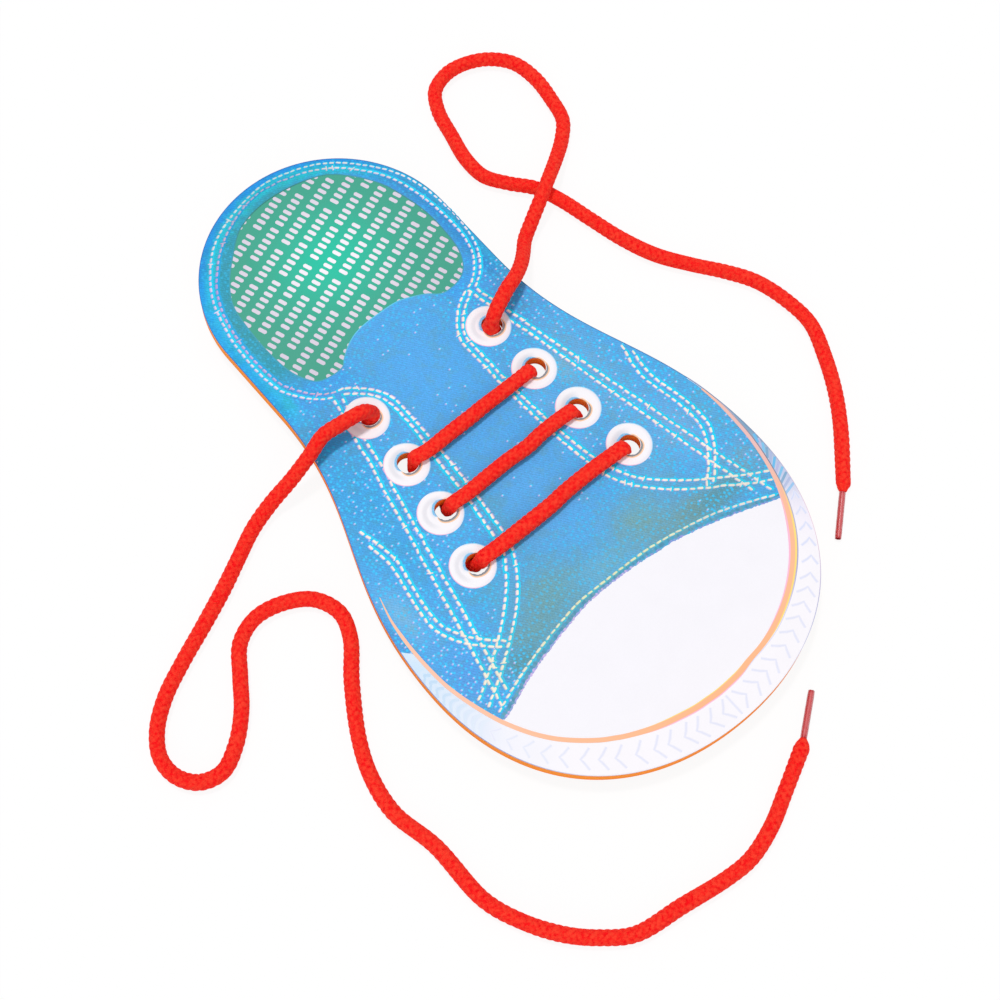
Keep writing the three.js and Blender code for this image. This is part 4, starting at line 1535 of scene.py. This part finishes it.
def print_sole_marks():
    """The sole band's marks: soft chevrons on both sides of a bar at the toe, ripples and stripes."""
    steps = np.array(CHEVRON_STEPS)
    for name, half, strength, top in (
            ("print_chevrons", 0.22, 0.8, CHEVRONS_TOP), ("print_chevron_haze", 0.5, 0.45, CHEVRON_HAZE_TOP)):
        points, faces, lift = sole_strokes(steps, half, chevron_reaches(steps), CHEVRON_LEANS)
        bar, bar_faces = strokes(np.array([TOE_BAR]), half)
        faces = np.vstack([faces, bar_faces + len(points)])
        points, lift = np.vstack([points, bar]), np.append(lift, np.zeros(len(bar)))
        shade = airbrush(points, (224, 227, 247), [
            (-62, -92, 14, 16, 0.8, (228, 234, 249)),
            (58, -96, 14, 14, 0.8, (210, 218, 248)),
            (68, -78, 10, 12, 0.8, (200, 211, 247)),
            (71, -62, 8, 8, 1.0, (170, 214, 246))])
        slab(name, points, faces, top + lift, shade=between(ink(248, 245, 251), shade, strength))
    share = np.linspace(0, 1, 7)
    for name, start, top, tone in (
            ("print_ripples", 80, RIPPLES_TOP, (192, 220, 245)),
            ("print_ripple_gaps", 81.5, RIPPLE_GAPS_TOP, (216, 232, 249))):
        points, faces, lift = sole_strokes(
            -np.arange(start, 138, RIPPLE_PITCH)[::-1], 0.5, share * 1.2 - 0.1, 1.5 - 7 * (share - 0.45) ** 2)
        shade = airbrush(points, (236, 240, 250), [(-70, -50, 9, 24, 1.0, tone)])
        slab(name, points, faces, top + lift, shade=shade)
    points, faces, lift = sole_strokes(
        np.arange(79, 150, STRIPE_PITCH), 0.46, [-0.35, 1.12], [-1.8, 1.8])
    tones = inks((108, 188, 236), (172, 186, 222), (128, 170, 204), (128, 196, 236), (184, 188, 226))
    low = fade(-points[:, 1], 74, 90)[:, None]
    shade = between(tones[np.arange(len(points)) // 4 % len(tones)], ink(222, 224, 246), low)
    slab("print_sole_stripes", points, faces, STRIPES_TOP + lift, shade=shade)


# Rows of stitches: the two of the collar, outer and inner, and then the others.
STITCH_ROWS = [
    [
        (-30.5, 44.8), (-32.7, 45.8), (-34.3, 46.9), (-38.2, 50.7), (-42.4, 57), (-43.1, 58.9),
        (-43.9, 62.4), (-44.4, 66.4), (-44.6, 72.5), (-44.1, 83.6), (-43, 89.1), (-41.2, 96.4),
        (-40.1, 99.7), (-37.6, 104.7), (-33.6, 110.5), (-31.4, 113.2), (-28.6, 116.1), (-26.7, 117.8),
        (-25.1, 118.9), (-21.7, 121), (-14.7, 123.9), (-6.5, 126.2), (-1.1, 127.2), (1.9, 127.5), (5, 127.4),
        (9.9, 126.5), (16.7, 124.7), (22.8, 122.2), (25.7, 120.4), (28.6, 118.4), (31.6, 115.8), (37, 109.9),
        (39.2, 107.1), (41.2, 104.3), (42.9, 101.2), (44.4, 98.1), (46.2, 92.4), (47.3, 87), (47.9, 81.5),
        (48.2, 72.5), (47.2, 64.1), (46.5, 61.2), (45.7, 58.8), (44.3, 56.2), (42.5, 53.3), (39.8, 50.3),
        (34.9, 46.9),
    ],
    [
        (-28.1, 46), (-29.6, 46.3), (-31.3, 47.2), (-33.7, 48.9), (-35.5, 50.7), (-37.3, 53), (-40.2, 57.8),
        (-40.9, 59.2), (-41.5, 61.1), (-42.1, 64.6), (-42.5, 68.2), (-42.8, 73.7), (-42.7, 78.2),
        (-41.4, 88.8), (-40.7, 92.2), (-39.8, 95.2), (-37.2, 101.2), (-34.9, 105.1), (-29, 112),
        (-27.3, 113.7), (-24.9, 115.7), (-19.6, 119.4), (-12.4, 122.9), (-6.2, 124.9), (0.3, 125.8),
        (2.3, 125.7), (4.8, 125.2), (7.8, 125), (10.2, 124.2), (13.6, 123.4), (18.8, 121.6), (22.4, 119.8),
        (25, 118.3), (29, 115.3), (33.5, 110.5), (37.5, 105.4), (41, 98.8), (43.2, 91.2), (44.4, 84.8),
        (45.3, 75.9), (45.3, 68.4), (44.8, 64.4), (43.1, 58.2), (40.7, 54.5), (38.7, 52.2), (36.5, 50.3),
        (34.4, 49), (32.5, 48.4),
    ],
    [
        (-27.4, 43.6), (-25.7, 42.5), (-21.5, 38.9), (-19.8, 37), (-18.4, 34.8), (-17.7, 33.4), (-16.8, 29),
        (-16.9, 15.9), (-17.9, 7.4), (-19.2, -12.6), (-20.4, -22.5), (-21.8, -32.9), (-22.3, -35.4),
        (-23.6, -38.1), (-28.8, -44.8), (-31.9, -48.2), (-35.9, -52), (-40.8, -56.2), (-48.1, -61.5),
        (-59.4, -68.8), (-62.5, -70.4),
    ],
    [
        (-28.2, 45.8), (-26.7, 45.5), (-24.5, 44.3), (-19.3, 39.6), (-16.1, 35), (-15.3, 33.1),
        (-14.8, 30.7), (-14.6, 28.1), (-14.7, 13.6), (-15.5, -5.4), (-16.9, -20.9), (-18.3, -32.8),
        (-18.7, -34.8), (-19.4, -36.6), (-20.9, -39.7), (-23.5, -43.9), (-27.2, -48.7), (-33.1, -54.8),
        (-43.4, -62.8), (-52.5, -69), (-59.5, -73.1), (-61.5, -74.5),
    ],
    [
        (31.5, 48), (28.8, 46.8), (26.6, 45.5), (23.5, 43), (21.7, 41.2), (20.1, 39.3), (18.5, 36.7),
        (17.7, 34.8), (17.2, 32.8), (17.3, 20.3), (17.4, 7.3), (18.4, -8.7), (19.3, -18.7), (22.2, -36),
        (23, -38.4), (24.3, -41.1), (26.7, -45), (29.8, -48.9), (34.8, -53.9), (40.6, -58.7), (43.5, -60.6),
        (47.1, -63.3), (50.6, -65.2), (53.8, -67.6), (57.2, -69.7), (60.1, -71.7), (64.5, -73.9),
        (65.3, -74.6),
    ],
    [
        (32.8, 47.1), (31.3, 45.8), (26.2, 42.5), (22.6, 39), (21.3, 37.4), (20.3, 35.6), (19.8, 34.2),
        (19.5, 32.7), (19.5, 20.1), (19.6, 7.6), (20.8, -10.9), (21.7, -18.4), (22.9, -26.3), (24.3, -32.2),
        (26.2, -37.4), (29.2, -43.2), (31.3, -45.9), (34.5, -49.1), (38.2, -52.4), (44.5, -57.5),
        (52.8, -63), (60.9, -68.1), (66.6, -71.2),
    ],
    [
        (-31.1, 44.2), (-31.8, 39.7), (-33.3, 32.9), (-35.5, 24.2), (-36.1, 18.7), (-38.8, 8.1),
        (-42.9, -11.5), (-45.5, -22.3), (-46, -25.2), (-48.6, -36.4), (-50.7, -46.2), (-51.5, -49.1),
        (-52.3, -53.5), (-54, -60.4), (-54.7, -64.3), (-55.7, -67.7), (-56.2, -71.1), (-57.3, -75.5),
        (-57.6, -77),
    ],
    [
        (-28.5, 42.8), (-28.8, 40.9), (-32.1, 26.8), (-34.6, 10.5), (-36.2, 5.2), (-37.2, -0.2),
        (-38.3, -4.6), (-38.8, -8), (-39.7, -10.9), (-40, -13.9), (-41, -17.3), (-42.9, -27.1), (-43.8, -30),
        (-44.5, -34.4), (-47, -46.2), (-49.7, -58.9), (-52.5, -71.7), (-52.6, -72.7), (-52.5, -73.8),
    ],
    [
        (32, 48), (32.5, 46.2), (33.3, 41.8), (34.4, 37.4), (35.5, 30), (37.5, 22.2), (40.7, 6.5),
        (43.8, -9.2), (47.4, -26.4), (51, -44), (51.8, -48.4), (52.9, -52.3), (53.4, -55.3), (53.9, -57.2),
        (54.2, -59.7), (55.1, -62.5), (55.5, -65.5), (56.3, -68.4), (57.2, -73.3),
    ],
    [
        (34.9, 46.4), (35.2, 43.8), (36.4, 39.5), (38, 31.2), (39.1, 27.3), (39.6, 23.9), (42.9, 9.2),
        (46.2, -5.4), (47.3, -11.3), (48.4, -15.1), (49, -18.6), (49.7, -21), (51.9, -31.2), (52.8, -36.1),
        (53.7, -39.5), (54.4, -43), (55.1, -45.3), (55.8, -49.8), (59.5, -64.8), (62.2, -77),
    ],
    [
        (-55.8, -5.4), (-54.5, -13.9), (-54.5, -15.9), (-54.9, -19.4), (-57, -30.8), (-57.6, -35.8),
        (-57.9, -40.3), (-57.5, -43.3), (-56.4, -46.7), (-53.2, -52.3), (-46.7, -59.4), (-45.2, -60.7),
        (-44, -61.5),
    ],
    [
        (-55, 0.4), (-54.1, -2.5), (-52.9, -7.8), (-51.9, -15.7), (-52.1, -17.7), (-54.7, -32),
        (-55.3, -38.5), (-55, -43), (-52.4, -49), (-51.4, -50.8), (-45.8, -57.2), (-42.8, -59.9),
        (-41.8, -61),
    ],
    [
        (61.1, -6.6), (60, -12.6), (59.7, -18.1), (60, -21.1), (61.9, -30.5), (62.6, -36), (62.7, -41),
        (62.4, -44.4), (61.8, -46.3), (60.9, -48.1), (58.3, -52.3), (55.1, -56.1), (52, -59.4),
        (49.6, -61.3), (48.7, -62.5),
    ],
    [
        (59.5, -2.7), (58.8, -6.1), (57.8, -9.5), (56.9, -16.5), (57.8, -22.9), (59.1, -29.3), (59.9, -35.2),
        (60.1, -40.7), (59.7, -43.6), (58.6, -46.9), (56.4, -50.7), (51.3, -56.9), (47.2, -60.6),
        (45.9, -62.2),
    ],
    [
        (-60.1, -77.8), (-50.7, -74.2), (-41.6, -71.3), (-31.9, -68.8), (-17.6, -65.9), (-13.6, -65.5),
        (3, -65.6), (12.5, -65.9), (17.5, -66.3), (27.9, -67.9), (37.7, -69.9), (43.4, -71.5), (54.2, -75.6),
        (59.3, -77.8), (61.9, -79.1),
    ],
]
STITCH_PITCH = 2.66
COLLAR_STITCH_PITCH = 2.4
COLLAR_ROWS = 2
CAP_ROW = 14
THROAT_ROWS = (2, 3)
THROAT_FOOT = -42
INNER_COLLAR_TONE = (0.74, 0.62, 0.86)
STITCH_INSET = 0.2
STITCH_JITTER = 0.12
STITCH_TURN = 0.07
# Near the board's edge, between these distances, the shifted inks draw in to this share.
EDGE_REACH = (1.4, 3.0)
EDGE_SHARE = 0.35
STRAY_INSET = 2.6
STRAY_SHARE = 0.1
STRAY_WIDTH = 0.34
# The layers of each stitch, from its thread down to the cyan edge: the shift and the growth of the ink,
# its height and its colours.
STITCH_LAYERS = [
    ("print_stitches", (0, 0), (0, 0), STITCH_TOP, (252, 242, 228), [
        (-44, 66, 12, 40, 0.9, (226, 232, 250)),
        (-36, 105, 12, 14, 0.9, (216, 206, 246)),
        (0, 126, 40, 11, 0.9, (190, 214, 222)),
        (36, 108, 10, 12, 0.9, (206, 218, 234)),
        (46, 74, 6, 30, 0.9, (240, 232, 246)),
        (-19, 24, 10, 34, 0.6, (246, 238, 250)),
        (0, -68, 50, 9, 0.95, (230, 236, 188)),
        (46, -72, 18, 8, 0.8, (222, 220, 216))]),
    ("print_stitch_rose", (-0.3, 0.04), (0.1, 0.06), STITCH_ROSE_TOP, (196, 178, 232), [
        (0, 126, 50, 13, 0.8, (110, 196, 214)),
        (-54, -60, 16, 20, 0.6, (214, 214, 212)),
        (0, -67, 60, 8, 0.8, (186, 196, 176))]),
    ("print_stitch_edges", (0.5, -0.12), (0.9, 0.45), STITCH_EDGE_TOP, (0, 214, 250), [
        (0, 126, 60, 14, 0.8, (8, 190, 214)),
        (0, -67, 60, 8, 0.85, (90, 186, 190))]),
]


def stitch_places(rng):
    """Middles, ways and row numbers of the stitches."""
    places, ways, rows = [], [], []
    for number, row in enumerate(STITCH_ROWS):
        line = smooth_line(row, parts=10)
        length = travelled(line)[-1]
        count = int(length / (COLLAR_STITCH_PITCH if number < COLLAR_ROWS else STITCH_PITCH))
        middles = (np.arange(count) + 0.5) * length / count
        middles += rng.uniform(-STITCH_JITTER, STITCH_JITTER, count)
        places.append(at_distances(line, middles))
        ways.append(unit(at_distances(line, middles + 0.6) - at_distances(line, middles - 0.6)))
        rows.append(np.full(count, number))
    places, ways, rows = np.vstack(places), np.vstack(ways), np.concatenate(rows)
    clear = inside(places, [inset_board(STITCH_INSET)])
    return places[clear], ways[clear], rows[clear]


def turned(ways, angle):
    """Level directions turned by an angle."""
    angle = angle[:, None]
    return ways * np.cos(angle) + left_of(ways) * np.sin(angle)


def print_stitches():
    """The printed stitches: pills laid end to end along every row, stray ends and edges out of register.

    The cyan edge shows on one side of each stitch and the lilac one on the other. Towards the board's
    edge both draw in.
    """
    rng = np.random.default_rng(11)
    places, ways, rows = stitch_places(rng)
    count = len(places)
    ways = turned(ways, rng.normal(0, STITCH_TURN, count))
    collar = rows < COLLAR_ROWS
    slim = np.where(rows == CAP_ROW, 0.9, np.where(collar, 0.8, 1.0))
    short = np.where(collar, 0.85, 1.0)
    sizes = np.column_stack([rng.uniform(1.6, 2.1, count) * short, rng.uniform(0.6, 0.84, count) * slim])
    stray = (rng.random(count) < STRAY_SHARE) & (rows != CAP_ROW)
    stray &= inside(places, [inset_board(STRAY_INSET)])
    turns = rng.uniform(0.9, 2.2, count)[stray]
    ends = stray.sum()
    places = np.vstack([places, places[stray] + ways[stray] * rng.uniform(0.5, 1.0, (ends, 1))])
    ways = np.vstack([ways, turned(ways[stray], turns)])
    sizes = np.vstack([sizes, np.column_stack([rng.uniform(1.3, 2.2, ends), np.full(ends, STRAY_WIDTH)])])
    rows = np.concatenate([rows, rows[stray]])
    number = np.arange(len(rows))
    lift = np.repeat(rows + np.where(number < count, number % 2 * 0.25, 0.5), len(PILL)) * STITCH_STEP
    tone = np.repeat(rng.uniform(0.9, 1.0, len(rows)), len(PILL))[:, None]
    inner = np.repeat((rows == 1) * ebb(places[:, 0], 4, 30), len(PILL))[:, None]
    tone = tone * (1 - inner * (1 - np.array(INNER_COLLAR_TONE)))
    throat = np.isin(rows, THROAT_ROWS) & (places[:, 1] > THROAT_FOOT)
    side = np.where(throat, -1.0, 1.0)[:, None]
    kept = EDGE_SHARE + (1 - EDGE_SHARE) * fade(from_edge(places), *EDGE_REACH)[:, None]
    for name, shift, growth, top, base, tints in STITCH_LAYERS:
        moved = places + np.array(shift) * side * kept
        points, faces = placed_shapes(PILL, moved, ways, sizes + np.array(growth) * kept)
        slab(name, points, faces, top + lift, STITCH_INK, shade=airbrush(points, base, tints) * tone)


RING_RADIUS = 8.08
RINGS_LEFT = [(-26.66, 31.37), (-27.2, 9.13), (-29.74, -11.88), (-33.6, -33.38)]
RINGS_RIGHT = [(28.41, 32.1), (29.95, 9.32), (31.87, -11.73), (36.19, -33.29)]


def print_eyelets():
    """The eyelet rings: strips of faces between each hole's edge and the ring's own circle.

    That circle has another middle than the hole.
    """
    count, rows = 72, 14
    way = heading(2 * np.pi * np.arange(count) / count)
    share = np.linspace(0, 1, rows)[:, None, None]
    points, faces, seats, gaps = [], [], [], []
    for i, (hole, ring) in enumerate(zip(HOLES, RINGS_LEFT + RINGS_RIGHT)):
        grid = between(hole + HOLE_RADIUS * way, ring + RING_RADIUS * way, share).reshape(-1, 2)
        points.append(grid)
        faces.append(ring_faces(rows, count)[:, ::-1] + i * rows * count)
        seats.append((grid - ring) / RING_RADIUS)
        gaps.append(np.linalg.norm(grid - hole, axis=1) - HOLE_RADIUS)
    slab("print_eyelets", np.vstack(points), np.vstack(faces), EYELET_TOP, EYELET,
         seat=np.vstack(seats), gap=np.concatenate(gaps))


def print_edge_line():
    """The thin line where the print meets the cut.

    It is violet-blue beside the denim, and lavender and peach beside the sole.
    """
    line = board_edge(0.8)
    colours = airbrush(line, (58, 104, 190), [
        (60, 40, 30, 90, 0.8, (40, 120, 160)),
        (-66, -70, 14, 36, 1.0, (150, 160, 205)),
        (-40, -112, 30, 24, 1.0, (240, 232, 240)),
        (0, -132, 60, 18, 1.0, (250, 244, 248)),
        (74, -44, 10, 26, 0.9, (96, 128, 160)),
        (62, -90, 20, 30, 1.0, (240, 216, 226))])
    ribbon("print_edge_line", line, 0.22, 0.0, EDGE_LINE_TOP, colours, closed=True)


for layer in (
        print_denim, print_insole, print_insole_marks, print_insole_line, print_toe_cap, print_sole_band,
        print_sole_marks, print_stitches, print_piping, print_eyelets, print_edge_line):
    layer()


# The studio

FLOOR_REACH = 4.0
FLOOR_DROP = 8e-5
FLOOR_SHARE_LIT = 0.09
FLOOR_SHOWN = 0.92
SURROUND_STRENGTH = 0.54
LAMPS = [
    ("key_lamp", 1.34, math.radians(9), (0.05, 0.32, 1.0)),
    ("fill_lamp", 0.6, math.radians(40), (-0.6, -0.75, 0.35)),
]


def seen(bench):
    """1 for a ray from the camera, off a gloss or through a clear piece, and 0 for those that carry light."""
    path = bench.add("ShaderNodeLightPath")
    shown = bench.calc("MAXIMUM", path.outputs["Is Camera Ray"], path.outputs["Is Glossy Ray"])
    return bench.calc("MAXIMUM", shown, path.outputs["Is Transmission Ray"])


def studio():
    """A pale floor that looks white and keeps a soft shadow, an even surround and two lamps.

    The soft key lamp stands on the heel's side, and the weak fill lamp low on the toe's.
    """
    floor_mesh = bpy.data.meshes.new("floor")
    reach, drop = FLOOR_REACH, -FLOOR_DROP
    floor_mesh.from_pydata(
        [(-reach, -reach, drop), (reach, -reach, drop), (reach, reach, drop), (-reach, reach, drop)],
        [], [(0, 1, 2, 3)])
    floor = new_object("floor", floor_mesh)
    material, bench, shader = new_finish("pale_floor")
    floor_mesh.materials.append(material)
    shown = seen(bench)
    bench.fit(shader, {
        "Base Color": bench.mix(shown, (*(FLOOR_SHOWN,) * 3, 1), (*(FLOOR_SHARE_LIT,) * 3, 1)),
        "Roughness": 0.9,
        "Specular IOR Level": 0.0,
        "Emission Color": (1, 1, 1, 1),
        "Emission Strength": bench.times(shown, 1 - FLOOR_SHARE_LIT)})

    world = bpy.data.worlds.new("surround")
    world.use_nodes = True
    bpy.context.scene.world = world
    bench = Bench(world.node_tree)
    light = next(n for n in world.node_tree.nodes if n.type == "BACKGROUND")
    bench.fit(light, {
        "Color": (1, 1, 1, 1),
        "Strength": bench.gain(seen(bench), 1 - SURROUND_STRENGTH, SURROUND_STRENGTH)})

    for name, strength, angle, towards in LAMPS:
        lamp = new_object(name, bpy.data.lights.new(name, "SUN"))
        lamp.data.energy = strength
        lamp.data.angle = angle
        lamp.rotation_euler = Vector(towards).to_track_quat("Z", "Y").to_euler()
    bpy.context.scene.view_settings.view_transform = "Standard"


studio()
